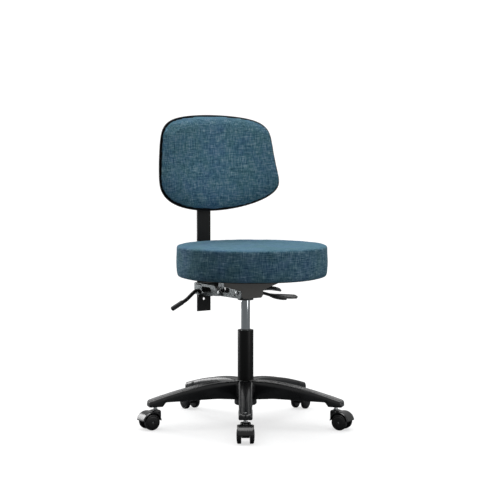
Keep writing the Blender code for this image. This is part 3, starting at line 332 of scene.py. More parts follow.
def powder_coat(name, colour, roughness):
    """Powder coat on steel: an orange-peel skin about a millimetre across, low gloss."""
    skin, tree, shader = blank(name, colour, roughness)
    peel = object_noise(tree, 1.3 * MM, 2.0)
    bump(tree, shader, peel, 0.12 * MM, 0.8)
    uneven = object_noise(tree, 40 * MM, 3.0)
    tree.links.new(spread(tree, uneven, roughness - 0.04, roughness + 0.08),
                   shader.inputs["Roughness"])
    shader.inputs["Specular IOR Level"].default_value = 0.25
    shader.inputs["Coat Weight"].default_value = 0.03
    shader.inputs["Coat Roughness"].default_value = 0.2
    return skin


def plated(name, colour, roughness, spread_by, streak=(1, 1, 1)):
    """Plated or bare steel: metal whose gloss drifts along the way it was drawn or rolled."""
    skin, tree, shader = blank(name, colour, roughness, 1.0)
    worn = object_noise(tree, 6 * MM, 4.0, streak)
    tree.links.new(spread(tree, worn, roughness - spread_by, roughness + spread_by),
                   shader.inputs["Roughness"])
    bump(tree, shader, object_noise(tree, 0.8 * MM, 2.0, streak), 0.02 * MM, 0.5)
    return skin


def pressed_steel(name, dark, light, roughness, metallic):
    """Galvanised or painted sheet steel: cloudy grey patches with a dull, uneven shine."""
    skin, tree, shader = blank(name, light, roughness, metallic)
    cloud = object_noise(tree, 7 * MM, 4.0)
    tree.links.new(ramp(tree, cloud, [(0.35, dark), (0.62, light)]), shader.inputs["Base Color"])
    tree.links.new(spread(tree, cloud, roughness + 0.1, roughness - 0.08),
                   shader.inputs["Roughness"])
    bump(tree, shader, object_noise(tree, 1.0 * MM, 3.0), 0.05 * MM, 0.6)
    return skin


def plywood():
    """Black-stained birch plywood: long soft grain and thin glue lines at its edge."""
    skin, tree, shader = blank("black_stained_birch_plywood", "1B1917", 0.6)
    grain = object_noise(tree, 2.0 * MM, 4.0, (20, 1, 1))
    plies = add_node(tree, "ShaderNodeTexWave", {"bands_direction": "Z"},
                     {"Scale": 1 / (20 * 1.5 * MM), "Distortion": 0.6,
                      "Vector": add_node(tree, "ShaderNodeTexCoord", {}, {}).outputs["Object"]})
    both = math_node(tree, "ADD", grain, math_node(tree, "MULTIPLY", plies.outputs["Fac"], 0.12))
    tree.links.new(ramp(tree, both, [(0.35, "0F0E0D"), (0.55, "1B1917"), (0.75, "2A2622")]),
                   shader.inputs["Base Color"])
    bump(tree, shader, grain, 0.15 * MM, 0.5)
    return skin


def build_materials():
    """Every finish on the stool, by its record slot or by a name of its own."""
    return {
        "upholstery": heathered_weave(),
        # back shell and guide bush, polypropylene with a spark-eroded grain that dulls it
        "shell": moulded("moulded_polypropylene", "101213", 0.42, 0.9 * MM, 0.12 * MM),
        # glass-filled nylon base, satin with a slight sheen on its crowns
        "nylon": moulded("glass_filled_nylon", "121315", 0.30, 0.7 * MM, 0.06 * MM, 0.25),
        # hood and wheel centres from a polished tool, which gives clear highlights
        "caster_hood": moulded("glossy_nylon", "0C0D0E", 0.22, 1.2 * MM, 0.03 * MM, 0.3),
        # hard tread, a little scuffed
        "caster_wheel": moulded("hard_polyamide_tread", "101011", 0.36, 1.0 * MM, 0.05 * MM),
        # dipped grip, soft and dull
        "rubber": moulded("vinyl_grip", "26282A", 0.62, 1.4 * MM, 0.15 * MM),
        # post, outer tube and lock rod, baked black with an orange-peel skin
        "black_steel": powder_coat("black_powder_coat_on_steel", "060707", 0.40),
        # clamp, yoke, back plate and lever hubs, thinly painted
        "dark_steel": pressed_steel("dark_grey_painted_steel", "3B3D3D", "4B4D4C", 0.48, 0.25),
        # back arm and pan, galvanised and left bare, clouded by its crystals
        "mechanism_steel": pressed_steel("galvanised_sheet_steel", "5A5E60", "8B9091", 0.45, 0.85),
        # gas cylinder, drawn, polished and chromed, near a mirror
        "chrome": plated("hard_chrome", "D6DADC", 0.06, 0.02, (1, 1, 8)),
        # bolts and pins, bright but not polished
        "bright_steel": plated("bright_zinc_plated_steel", "B6B9BA", 0.28, 0.08),
        "board": plywood(),
        # lever paddles, moulded with a half-gloss face
        "lever_end": moulded("black_abs", "0E0F10", 0.32, 1.0 * MM, 0.05 * MM, 0.2),
        # painted shade: a dull brown-grey coat with an orange-peel skin, laid as a sheet over the galvanised pan's
        # front face where it lies out of the side light
        "front_shade_paint": powder_coat("brown_grey_painted_shade", "83807C", 0.5),
        # the middle lever's flat, zinc plated and dulled
        "lever_steel": pressed_steel("zinc_plated_lever", "55585A", "84888A", 0.34, 0.9),
    }


# ---------------------------------------------------------------- surfaces

def to_object(name, places, faces, sharp_deg=40):
    """A mesh object at the origin from arrays of vertices and faces, wound outward."""
    mesh = bpy.data.meshes.new(name)
    mesh.from_pydata(np.asarray(places, float).tolist(), [], faces)
    work = bmesh.new()
    work.from_mesh(mesh)
    bmesh.ops.remove_doubles(work, verts=work.verts, dist=1e-6)
    bmesh.ops.recalc_face_normals(work, faces=work.faces)
    work.to_mesh(mesh)
    work.free()
    mesh.shade_smooth()
    mesh.set_sharp_from_angle(angle=radians(sharp_deg))
    thing = bpy.data.objects.new(name, mesh)
    bpy.context.scene.collection.objects.link(thing)
    return thing


def skinned(name, rows, wrap_rows=False, wrap_columns=True, caps=True, sharp_deg=40):
    """A skin over a grid of places, rows by columns, with its end rows closed if caps is set."""
    grid = np.asarray(rows, float)
    count, across = grid.shape[:2]
    last_row = count if wrap_rows else count - 1
    last_column = across if wrap_columns else across - 1
    row, column = np.meshgrid(np.arange(last_row), np.arange(last_column), indexing="ij")
    following = (row + 1) % count
    beside = (column + 1) % across
    quads = np.stack([row * across + column, row * across + beside,
                      following * across + beside, following * across + column], -1)
    faces = quads.reshape(-1, 4).tolist()
    if caps and not wrap_rows:
        faces.append(list(range(across))[::-1])
        faces.append(list(range((count - 1) * across, count * across)))
    return to_object(name, grid.reshape(-1, 3), faces, sharp_deg=sharp_deg)


def ring_of(radius, height, sides, power=2.0):
    """Points of a circle, or a squarer superellipse, at one height."""
    turn = np.arange(sides) * 2 * pi / sides
    c, s = np.cos(turn), np.sin(turn)
    scale = (np.abs(c) ** power + np.abs(s) ** power) ** (-1 / power)
    return np.stack([radius * c * scale, radius * s * scale, np.full(sides, height)], 1)


def turned(name, profile, sides=96, closed=False, place=(0, 0, 0), tilt=None):
    """A profile of (radius, height) turned about Z, then tilted and moved into place.

    A closed profile makes a ring; an open one is capped by its end circles.
    """
    rows = np.array([ring_of(max(r, 1e-5), z, sides) for r, z in profile])
    if tilt is not None:
        rows = rows @ np.array(tilt.to_3x3()).T
    return skinned(name, rows + np.asarray(place), wrap_rows=closed, caps=not closed)


def rounded(profile, radius, steps=3):
    """A profile with each inner corner replaced by a short curve of about that radius."""
    points = [np.array(p, float) for p in profile]
    result = [points[0]]
    for before, corner, after in zip(points, points[1:], points[2:]):
        back, on = before - corner, after - corner
        reach = min(radius, np.linalg.norm(back) * 0.45, np.linalg.norm(on) * 0.45)
        start = corner + back / np.linalg.norm(back) * reach
        end = corner + on / np.linalg.norm(on) * reach
        for k in range(steps + 1):
            t = k / steps
            result.append(start * (1 - t) ** 2 + corner * 2 * t * (1 - t) + end * t ** 2)
    result.append(points[-1])
    return [tuple(p) for p in result]


def smooth_path(points, steps):
    """A Catmull-Rom curve through points of any dimension, steps per span."""
    p = np.asarray(points, float)
    p = np.vstack([2 * p[0] - p[1], p, 2 * p[-1] - p[-2]])
    t = np.linspace(0, 1, steps, endpoint=False)[:, None]
    spans = []
    for a, b, c, d in zip(p, p[1:], p[2:], p[3:]):
        spans.append(0.5 * (2 * b + (c - a) * t + (2 * a - 5 * b + 4 * c - d) * t ** 2
                            + (3 * b - a - 3 * c + d) * t ** 3))
    return np.vstack(spans + [p[-2][None]])


def swept(name, path, width, height, sides=32, power=2.0, up=(0, 0, 1), sharp_deg=40):
    """A superellipse section carried along a path, its half width level and half height up.

    width and height are numbers or one value per path point.
    """
    path = np.asarray(path, float)
    count = len(path)
    along = np.gradient(path, axis=0)
    along /= np.linalg.norm(along, axis=1)[:, None]
    side = np.cross(along, np.asarray(up, float))
    side /= np.linalg.norm(side, axis=1)[:, None]
    lift = np.cross(side, along)
    section = ring_of(1.0, 0.0, sides, power)
    half_width = np.broadcast_to(width, count)[:, None, None]
    half_height = np.broadcast_to(height, count)[:, None, None]
    rows = (path[:, None] + side[:, None] * section[None, :, :1] * half_width
            + lift[:, None] * section[None, :, 1:2] * half_height)
    return skinned(name, rows, sharp_deg=sharp_deg)


def round_ends(count, share, least=0.0):
    """A width factor that rounds off both ends over a share of the length, as a quarter circle."""
    t = np.linspace(0, 1, count)
    near = np.minimum(t, 1 - t) / share
    return least + (1 - least) * np.sqrt(1 - (1 - np.clip(near, 0, 1)) ** 2)


def dress(thing, body, skin):
    """Give a piece its finish and its slot, and let it ride on a body."""
    thing.data.materials.clear()
    thing.data.materials.append(skin)
    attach(thing, body)
    return thing


def stands_for(thing, skins, *nodes, finish=None):
    """A new piece takes over a CAD node's body and slot, and hides that node."""
    node = nodes[0]
    slot = SLOT_OF[node]
    dress(thing, BODY_OF[node], skins[finish or slot])
    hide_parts(*nodes)
    return thing


def softened(node, skins, width, finish=None):
    """A copy of a CAD node whose edges are rounded by width metres."""
    mesh = NODES[node].data.copy()
    mesh.name = f"{node}_finish"
    work = bmesh.new()
    work.from_mesh(mesh)
    bmesh.ops.remove_doubles(work, verts=work.verts, dist=1e-5)
    bmesh.ops.dissolve_limit(work, angle_limit=radians(1.0), verts=work.verts, edges=work.edges)
    work.to_mesh(mesh)
    work.free()
    if mesh.has_custom_normals:
        mesh.attributes.remove(mesh.attributes["custom_normal"])
    mesh.shade_smooth()
    mesh.set_sharp_from_angle(angle=radians(35))
    thing = bpy.data.objects.new(f"{node}_finish", mesh)
    bpy.context.scene.collection.objects.link(thing)
    edge = thing.modifiers.new("rounded_edges", "BEVEL")
    edge.width = width
    edge.segments = 2
    edge.limit_method = "ANGLE"
    edge.angle_limit = radians(40)
    edge.harden_normals = False
    return stands_for(thing, skins, node, finish=finish)


# ---------------------------------------------------------------- upholstery

def remesh(thing, voxel):
    """Give a piece an even skin of faces about a voxel across."""
    step = thing.modifiers.new("even_faces", "REMESH")
    step.mode = "VOXEL"
    step.voxel_size = voxel
    graph = bpy.context.evaluated_depsgraph_get()
    mesh = bpy.data.meshes.new_from_object(thing.evaluated_get(graph), depsgraph=graph)
    old = thing.data
    thing.modifiers.clear()
    thing.data = mesh
    bpy.data.meshes.remove(old)


def places_of(mesh):
    """A mesh's vertices as rows of x, y and z."""
    co = np.empty(len(mesh.vertices) * 3, np.float32)
    mesh.vertices.foreach_get("co", co)
    return co.reshape(-1, 3).astype(float)


def set_places(mesh, co):
    """Move a mesh's vertices to the places given."""
    mesh.vertices.foreach_set("co", np.asarray(co, np.float32).ravel())
    mesh.update()


BLOW_FRAMES = 20             # the cloth has come to rest by then
LEVEL_FROM, LEVEL_FULL = 0.55, 0.80      # upward share of the normal, for level cloth


def inflate(thing, cap):
    """Blow the skin up as cloth, each point's move m held to cap times tanh(m over cap)."""
    scene = bpy.context.scene
    rest = places_of(thing.data)
    cloth = thing.modifiers.new("blown", "CLOTH")
    cloth.settings.quality = 5
    cloth.settings.mass = 0.3
    cloth.settings.tension_stiffness = 12
    cloth.settings.compression_stiffness = 12
    cloth.settings.bending_stiffness = 0.4
    cloth.settings.use_pressure = True
    cloth.settings.uniform_pressure_force = 4.0
    cloth.settings.effector_weights.gravity = 0
    cloth.collision_settings.use_collision = False
    cloth.point_cache.frame_start = 1
    cloth.point_cache.frame_end = BLOW_FRAMES
    for number in range(1, BLOW_FRAMES + 1):
        scene.frame_set(number)
    graph = bpy.context.evaluated_depsgraph_get()
    blown = bpy.data.meshes.new_from_object(thing.evaluated_get(graph), depsgraph=graph)
    move = places_of(blown) - rest
    bpy.data.meshes.remove(blown)
    thing.modifiers.clear()
    scene.frame_set(1)
    length = np.linalg.norm(move, axis=1)[:, None]
    held = cap * np.tanh(length / cap) / np.maximum(length, 1e-9)
    set_places(thing.data, rest + move * held)


def finish_cloth(thing):
    """One smooth subdivision and the attribute that tells top cloth from side cloth."""
    thing.data.name = thing.name
    thing.data.shade_smooth()
    normals = np.empty(len(thing.data.vertices) * 3, np.float32)
    thing.data.vertices.foreach_get("normal", normals)
    upward = np.abs(normals.reshape(-1, 3)[:, 2])
    share = np.clip((upward - LEVEL_FROM) / (LEVEL_FULL - LEVEL_FROM), 0, 1)
    thing.data.attributes.new("upward", "FLOAT", "POINT")
    thing.data.attributes["upward"].data.foreach_set("value", share.astype(np.float32))
    step = thing.modifiers.new("fine", "SUBSURF")
    step.levels = 1
    step.render_levels = 1
    return thing


def build_seat_cushion(skins):
    """Round pull-over cushion: a level top with a soft shoulder, upright sides that swell a
    little and a hem that turns under the board."""
    box_low, box_high = low("seat_cushion"), high("seat_cushion")
    centre = (box_low + box_high) / 2 * (1, 1, 0)
    rim = (box_high[0] - box_low[0]) / 2
    base, top = box_low[2], box_high[2]
    board = (high("seat_board")[0] - low("seat_board")[0]) / 2
    board_top = high("seat_board")[2]
    slack = 5 * MM               # left for the cloth to swell into
    outer = rim - slack
    crown = top - slack
    bend = 6 * MM
    hem = base + 0.6 * MM
    tuck = board + 1.5 * MM      # the hem ends just outside the board
    roof = board_top + 2 * MM
    shoulder = [(outer - bend * (1 - sin(a)), crown - 0.5 * MM - bend * (1 - cos(a)))
                for a in np.linspace(0.1, pi / 2, 7)]
    profile = [(0.0, crown), (outer * 0.6, crown), (outer - 24 * MM, crown), *shoulder,
               (outer, base + 26 * MM), (outer - 1 * MM, base + 12 * MM),
               (outer - 4 * MM, base + 4 * MM), (outer - 10 * MM, hem), (tuck, hem),
               (tuck, roof), (0.0, roof)]
    seat = turned("seat_upholstery", profile, 120, False, centre)
    remesh(seat, 5.5 * MM)
    inflate(seat, 1.5 * MM)
    co = places_of(seat.data)
    flat = co[:, :2] - centre[:2]
    radius = np.linalg.norm(flat, axis=1)
    grown = np.where(radius > board, rim / radius.max(), 1.0)[:, None]
    co[:, :2] = centre[:2] + flat * grown
    height = co[:, 2]
    fixed = board_top + 10 * MM  # the top is stretched to its height from here up
    ease = np.clip((height - fixed) / (height.max() - fixed), 0, 1)
    co[:, 2] = height + (top - height.max()) * ease
    sunk = (radius < board - 2 * MM) & (co[:, 2] < board_top + 0.5 * MM)
    co[:, 2] = np.where(sunk, board_top + 0.5 * MM, co[:, 2])
    co[:, 2] = np.maximum(co[:, 2], base + 0.2 * MM)
    set_places(seat.data, co)
    finish_cloth(seat)
    stands_for(seat, skins, "seat_cushion")


# The backrest's own plane: v runs up the slope, n toward the sitter.
BACK_TILT = radians(4.7)
BACK_CURVE = 0.422           # radius of the wrap
BACK_DISH = 0.76             # forward curve up the back, metres per metre squared
BACK_MIDDLE = 0.1014         # v of the backrest's middle
BACK_HALF_HEIGHT = 0.155
BACK_HALF_WIDTH = 0.2362     # at BACK_WIDE below the middle
BACK_WIDE = 0.070
BACK_TAPER = 0.131           # half width lost per metre up
CORNER_POWER = (6.3, 5.9)    # upper and lower superellipse powers
CAMBER = (0.162, 0.314)      # share of the height lost at the corners
UP_SLOPE = np.array([0, sin(BACK_TILT), cos(BACK_TILT)])
TO_SITTER = np.array([0, -cos(BACK_TILT), sin(BACK_TILT)])
BACK_BEND = np.array([AXIS[0], low("back_post")[1], 0.715])


def to_back(places):
    """World places as (u across, v up the slope, n toward the sitter)."""
    away = places - BACK_BEND
    return np.stack([away[:, 0], away @ UP_SLOPE, away @ TO_SITTER], 1)


def from_back(u, v, n):
    """World places from u across, v up the slope and n toward the sitter."""
    u, v, n = np.broadcast_arrays(u, v, n)
    return (BACK_BEND + u[..., None] * np.array([1.0, 0, 0]) + v[..., None] * UP_SLOPE
            + n[..., None] * TO_SITTER)


def sheet_depth(u, v):
    """How far the curved back stands forward at a place on it: the wrap's circle across and a
    parabola up."""
    circle = BACK_CURVE - np.sqrt(BACK_CURVE ** 2 - np.clip(u, -0.3, 0.3) ** 2)
    return circle + BACK_DISH * (v - BACK_MIDDLE) ** 2


def back_outline(inset, count=200):
    """The backrest's outline: a superellipse with arched upper and lower edges that narrows
    upward, pulled in by inset and listed at even steps."""
    turn = np.linspace(0, 2 * pi, 2881)      # eighths of a degree
    upper = np.sin(turn) > 0
    power = np.where(upper, *CORNER_POWER)
    reach = (np.abs(np.cos(turn)) ** power + np.abs(np.sin(turn)) ** power) ** (-1 / power)
    across = reach * np.cos(turn)
    v = (BACK_HALF_HEIGHT - inset) * reach * np.sin(turn)
    v = v * (1 - np.where(upper, *CAMBER) * across ** 2)
    u = (BACK_HALF_WIDTH - inset - BACK_TAPER * (v + BACK_WIDE)) * across
    run = np.concatenate([[0], np.cumsum(np.hypot(np.diff(u), np.diff(v)))])
    even = np.arange(count) * run[-1] / count
    return np.interp(even, run, u), np.interp(even, run, v) + BACK_MIDDLE


def back_rows(inset, depths, shares):
    """Rings over the backrest: each share of the outline at its own depth n off the curve."""
    u, v = back_outline(inset)
    rows = []
    for share, depth in zip(shares, depths):
        across, up = u * share, (v - BACK_MIDDLE) * share + BACK_MIDDLE
        rows.append(from_back(across, up, sheet_depth(across, up) + depth))
    return np.array(rows)


def node_depth(node):
    """Least n of a curved sheet near the middle of the back, read from its vertices."""
    spots = to_back(places_of(NODES[node].data))
    near = np.abs(spots[:, 0]) < 0.10
    return (spots[near, 2] - sheet_depth(spots[near, 0], spots[near, 1])).min()


def build_back_cushion(skins):
    """Curved back pad: crowned foam that thins to the shell's rim, covered in the same cloth."""
    rear = node_depth("back_cushion")
    padding = 38 * MM
    shares = np.concatenate([np.linspace(0.02, 0.85, 14), np.linspace(0.88, 1.0, 8)])
    front = rear + np.maximum(padding * (1 - shares ** 3.2) ** 0.40 - 4 * MM, 4 * MM)
    rows = np.concatenate([back_rows(2 * MM, front, shares),
                           back_rows(2 * MM, np.full(4, rear + 1.5 * MM), [1.0, 0.7, 0.4, 0.02])])
    pad = skinned("back_upholstery", rows)
    remesh(pad, 5 * MM)
    inflate(pad, 3 * MM)
    co = places_of(pad.data)
    spots = to_back(co)
    floor_n = rear + sheet_depth(spots[:, 0], spots[:, 1]) + 0.2 * MM
    spots[:, 2] = np.maximum(spots[:, 2], floor_n)
    set_places(pad.data, from_back(spots[:, 0], spots[:, 1], spots[:, 2]))
    finish_cloth(pad)
    stands_for(pad, skins, "back_cushion")


def build_back_shell(skins):
    """Moulded outer shell: the backrest's curve with a rolled rim that stands forward round
    the pad and a shallow raised border behind."""
    rear = node_depth("back_shell")
    shares_rear = np.array([0.02, 0.3, 0.6, 0.84, 0.86, 0.88, 0.965, 0.990, 0.998])
    depth_rear = rear + np.array([0, 0, 0, 0, 0.6, 1.4, 1.4, 2.0, 3.4]) * MM
    shares_front = np.array([1.0, 0.999, 0.996, 0.992, 0.988, 0.985, 0.98, 0.5, 0.02])
    depth_front = rear + np.array([5.2, 6.6, 7.2, 7.0, 6.2, 5.6, 5.0, 5.0, 5.0]) * MM
    rows = np.concatenate([back_rows(0, depth_rear, shares_rear),
                           back_rows(0, depth_front, shares_front)])
    shell = skinned("back_shell_moulding", rows, sharp_deg=60)
    stands_for(shell, skins, "back_shell")


# ---------------------------------------------------------------- base

ARMS = 5
STEM_CIRCLE = float(np.linalg.norm(np.array(JOINTS["caster_1_swivel"]["pos_m"][:2]) - AXIS[:2]))
TUBE_RADIUS = (high("column_tube")[0] - low("column_tube")[0]) / 2
ARM_END = STEM_CIRCLE + 22.5 * MM
ARM_KNEE = 0.060             # the arm runs level out to here
ARM_END_TOP = 0.0950
ARM_FALL = 1.6               # power of its fall to the end
BOSS_HALF = 22.2 * MM
BOSS_LOW = 0.070
RIDGE_HIGH = 13 * MM         # the rounded ridges are this high over the upright sides
MARK_HEIGHT = 0.0815

# Half an arm's section, foot to groove: across as a share of its half width, then up, where
# -1 is the foot, 1 the top of the upright side and 2 the top of the ridge.
ARM_SECTION = ((0.97, -1), (1, 0), (1, 1), (0.965, 1.45), (0.86, 1.85), (0.72, 2.0),
               (0.56, 1.93), (0.36, 1.72), (0.0, 1.62))


def around(places, degrees):
    """Places turned clockwise from +Y about the column, from local (across, out, height)."""
    turn = radians(degrees)
    x = places[..., 1] * sin(turn) + places[..., 0] * cos(turn)
    y = places[..., 1] * cos(turn) - places[..., 0] * sin(turn)
    return np.stack([x + AXIS[0], y + AXIS[1], places[..., 2]], -1)


def arm_rows(hub_top):
    """One base arm: two soft ridges with a shallow channel between, upright sides and a
    squared end. At each station out from the hub the section is scaled to the half width and
    set between foot and ridge. The ridge falls as the share of the way out to a power."""
    out = np.concatenate([np.linspace(TUBE_RADIUS * 0.6, STEM_CIRCLE - 0.02, 26),
                          np.linspace(STEM_CIRCLE - 0.012, ARM_END, 8)])
    share = np.maximum((out - ARM_KNEE) / (STEM_CIRCLE - ARM_KNEE), 0)
    ridge = hub_top - (hub_top - ARM_END_TOP) * share ** ARM_FALL
    half = np.interp(out, [0.0, STEM_CIRCLE], [0.0255, 0.0200])
    half = np.where(out > STEM_CIRCLE - 0.025, np.maximum(half, BOSS_HALF * 0.98), half)
    half = np.minimum(half, np.maximum(out * np.tan(pi / ARMS), 0.012))
    foot = np.interp(out, [0.03, 0.10, STEM_CIRCLE - 0.028, STEM_CIRCLE - 0.020],
                     [0.0800, 0.0855, 0.0830, BOSS_LOW])
    end = np.clip((ARM_END - out) / (4 * MM), 0, 1)
    fall = (1 - np.sqrt(1 - (1 - end) ** 2)) * 3 * MM
    right = np.array(ARM_SECTION)
    left = right * (-1, 1)
    shape = np.concatenate([left[1::-1], right, left[-2:1:-1]])
    rows = []
    for o, r, w, f, d in zip(out, ridge - fall, half, foot, fall):
        crown = np.clip(shape[:, 1] - 1, 0, 1)
        height = np.where(shape[:, 1] <= 1, f + (shape[:, 1] + 1) / 2 * (r - RIDGE_HIGH - f),
                          r - RIDGE_HIGH * (1 - crown))
        lean = 1 - 0.05 * (1 - np.clip((height - f) / 0.03, 0, 1))
        rows.append(np.stack([shape[:, 0] * (w - d) * lean, np.full(len(shape), o), height], 1))
    return np.array(rows)


def build_base(skins):
    """The moulded star: five arms, the hub and the bosses fused under one even skin."""
    hub_top, hub_low = high("base_star")[2], low("base_star")[2]
    arm = arm_rows(hub_top - 1.5 * MM)
    parts = [skinned("arm", around(arm, index * 360 / ARMS)) for index in range(ARMS)]
    outer = TUBE_RADIUS + 8.5 * MM
    bore = TUBE_RADIUS + 0.6 * MM
    hub = [(bore, hub_low + 5 * MM), (bore, hub_top + 1 * MM), (outer - 4 * MM, hub_top + 1 * MM),
           (outer, hub_top - 6 * MM), (outer + 2 * MM, hub_low + 4 * MM),
           (outer - 2 * MM, hub_low), (12 * MM, hub_low), (12 * MM, hub_low + 5 * MM)]
    parts.append(turned("hub", rounded(hub + hub[:1], 1.5 * MM), 96, True, AXIS))
    star = join_skins("base_moulding", parts, 2.0 * MM, 14)
    drill(star, AXIS[:2], bore, hub_low + 5 * MM)
    stands_for(star, skins, "base_star")
    build_base_marks(skins)


def join_skins(name, parts, voxel, rounds=5):
    """Fuse closed shells under one voxel skin, then relax it so that the joins have fillets."""
    places, faces, start = [], [], 0
    for part in parts:
        co = places_of(part.data)
        places.append(co)
        faces.extend([[v + start for v in poly.vertices] for poly in part.data.polygons])
        start += len(co)
        bpy.data.objects.remove(part)
    joined = to_object(name, np.vstack(places), faces)
    remesh(joined, voxel)
    relax(joined.data, rounds)
    joined.data.shade_smooth()
    return joined


def relax(mesh, rounds):
    """Move every point toward the mean of its neighbours, keeping the volume by turns."""
    co = places_of(mesh)
    edges = np.empty(len(mesh.edges) * 2, np.int32)
    mesh.edges.foreach_get("vertices", edges)
    a, b = edges.reshape(-1, 2).T
    count = np.bincount(np.concatenate([a, b]), minlength=len(co))[:, None]
    for step in range(rounds * 2):
        total = np.zeros_like(co)
        np.add.at(total, a, co[b])
        np.add.at(total, b, co[a])
        weight = 0.5 if step % 2 == 0 else -0.51
        co = co + weight * (total / count - co)
    set_places(mesh, co)


def drill(thing, centre, radius, floor):
    """Push what the skin left inside the column's bore out to its wall."""
    co = places_of(thing.data)
    away = co[:, :2] - centre
    distance = np.linalg.norm(away, axis=1)
    inside = (distance < radius) & (distance > radius * 0.6) & (co[:, 2] > floor + 2 * MM)
    scale = np.where(inside, radius / np.maximum(distance, 1e-6), 1.0)[:, None]
    co[:, :2] = centre + away * scale
    set_places(thing.data, co)


def build_base_marks(skins):
    """A round moulding mark on the flat end of each arm: circles that step in and proud."""
    ring = ring_of(1.0, 0.0, 32)
    radii = np.array([0.5, 3.2, 3.6, 3.6, 3.2, 0.5]) * MM
    depth = np.array([-0.6, -0.6, -0.3, 0.3, 0.55, 0.4]) * MM
    rows = np.array([np.stack([ring[:, 0] * r, np.full(32, ARM_END - 0.3 * MM + d),
                               MARK_HEIGHT + ring[:, 1] * r], 1) for r, d in zip(radii, depth)])
    for index in range(ARMS):
        mark = skinned(f"arm_end_mark_{index + 1}", around(rows, index * 360 / ARMS))
        dress(mark, "base", skins["caster_hood"])


def build_column(skins):
    """Outer tube with a rolled lip, its bush, and the polished cylinder."""
    tube_low, tube_high = low("column_tube")[2], high("column_tube")[2]
    inner = TUBE_RADIUS - 2.2 * MM
    wall = rounded([(inner, tube_low), (inner, tube_high), (TUBE_RADIUS, tube_high),
                    (TUBE_RADIUS, tube_low), (inner, tube_low)], 0.9 * MM)
    stands_for(turned("column_sleeve", wall, 96, True, AXIS), skins, "column_tube")
    bush_low, bush_high = low("guide_bush")[2], high("guide_bush")[2]
    hole = (high("gas_cylinder")[0] - low("gas_cylinder")[0]) / 2 + 0.3 * MM
    collar = rounded([(hole, bush_low), (hole, bush_high - 1 * MM), (hole + 1 * MM, bush_high),
                      (inner - 0.8 * MM, bush_high), (inner - 0.3 * MM, bush_high - 1 * MM),
                      (inner - 0.3 * MM, bush_low), (hole, bush_low)], 0.4 * MM)
    stands_for(turned("column_guide_bush", collar, 96, True, AXIS), skins, "guide_bush")
    base, top = low("gas_cylinder")[2], high("gas_cylinder")[2]
    radius = hole - 0.3 * MM
    body = rounded([(5.5 * MM, base), (radius, base), (radius, top - 38 * MM),
                    (radius - 1.3 * MM, top), (4.3 * MM, top), (4.3 * MM, top - 16 * MM),
                    (0.0, top - 16 * MM)], 0.8 * MM)
    stands_for(turned("gas_cylinder_tube", body, 96, False, AXIS), skins, "gas_cylinder")


def build_casters(skins):
    """Hooded twin-wheel casters, each built once about its stem and copied round the base."""
    names = {"hood": caster_hood, "wheel_left": lambda: caster_wheel(-1),
             "wheel_right": lambda: caster_wheel(1), "stem": caster_stem}
    for number in range(1, ARMS + 1):
        place = np.array(JOINTS[f"caster_{number}_swivel"]["pos_m"]) * (1, 1, 0)
        axle = JOINTS[f"caster_{number}_roll_left"]["axis"]
        turn = atan2(-axle[1], axle[0])
        for piece, build in names.items():
            thing = build()
            thing.name = f"caster_{number}_{piece}_moulding"
            thing.data.name = thing.name
            thing.data.transform(Matrix.Translation(place) @ Matrix.Rotation(-turn, 4, "Z"))
            stands_for(thing, skins, f"caster_{number}_{piece}")


WHEEL_RADIUS = (high("caster_1_wheel_left")[2] - low("caster_1_wheel_left")[2]) / 2
TRAIL = float(np.linalg.norm(np.array(JOINTS["caster_1_roll_left"]["pos_m"][:2])
                             - np.array(JOINTS["caster_1_swivel"]["pos_m"][:2])))
WEB_HALF = 12.25 * MM
WHEEL_GAP = 0.3 * MM         # between web and wheel
HOOD_FOOT = 28.5 * MM        # the hood ends this high over the floor
CASTER_HALF = (high("caster_1_hood")[0] - low("caster_1_hood")[0]) / 2
HOOD_HIGH = high("caster_1_hood")[2]


def across_x(rows, centre):
    """Rows of (radial, radial, along) turned so that their axis lies along X at a centre."""
    rows = np.asarray(rows, float)
    return np.stack([rows[..., 2] + centre[0], rows[..., 0] + centre[1],
                     rows[..., 1] + centre[2]], -1)


def caster_wheel(side):
    """A wheel: rounded tread, a ring groove and a dished cap that stands a little proud."""
    width = CASTER_HALF - WEB_HALF - WHEEL_GAP
    r = WHEEL_RADIUS
    hole = 3.3 * MM
    profile = [(hole, 0), (r - 3 * MM, 0), (r - 0.8 * MM, 0.4 * MM), (r, 1.6 * MM),
               (r, width - 4.5 * MM), (r - 0.7 * MM, width - 2.6 * MM),
               (r - 2.4 * MM, width - 0.9 * MM), (r - 4.6 * MM, width - 0.5 * MM),
               (r - 5.2 * MM, width - 1.6 * MM), (r - 5.8 * MM, width - 0.4 * MM),
               (r * 0.62, width + 0.4 * MM), (r * 0.30, width + 0.9 * MM),
               (hole, width + 1.0 * MM)]
    rows = np.array([ring_of(radius, side * (WEB_HALF + WHEEL_GAP + along), 64)
                     for radius, along in rounded(profile + profile[:1], 0.5 * MM, 2)])
    return skinned("wheel", across_x(rows, (0, TRAIL, WHEEL_RADIUS)), wrap_rows=True)


def scaled_slices(name, outline, centre, slices):
    """Slices of one outline in YZ, each at its own x and scaled by its share about a centre."""
    flat, pivot = np.array(outline), np.array(centre)
    return skinned(name, [[(along, *(pivot + (p - pivot) * share)) for p in flat]
                          for along, share in slices])


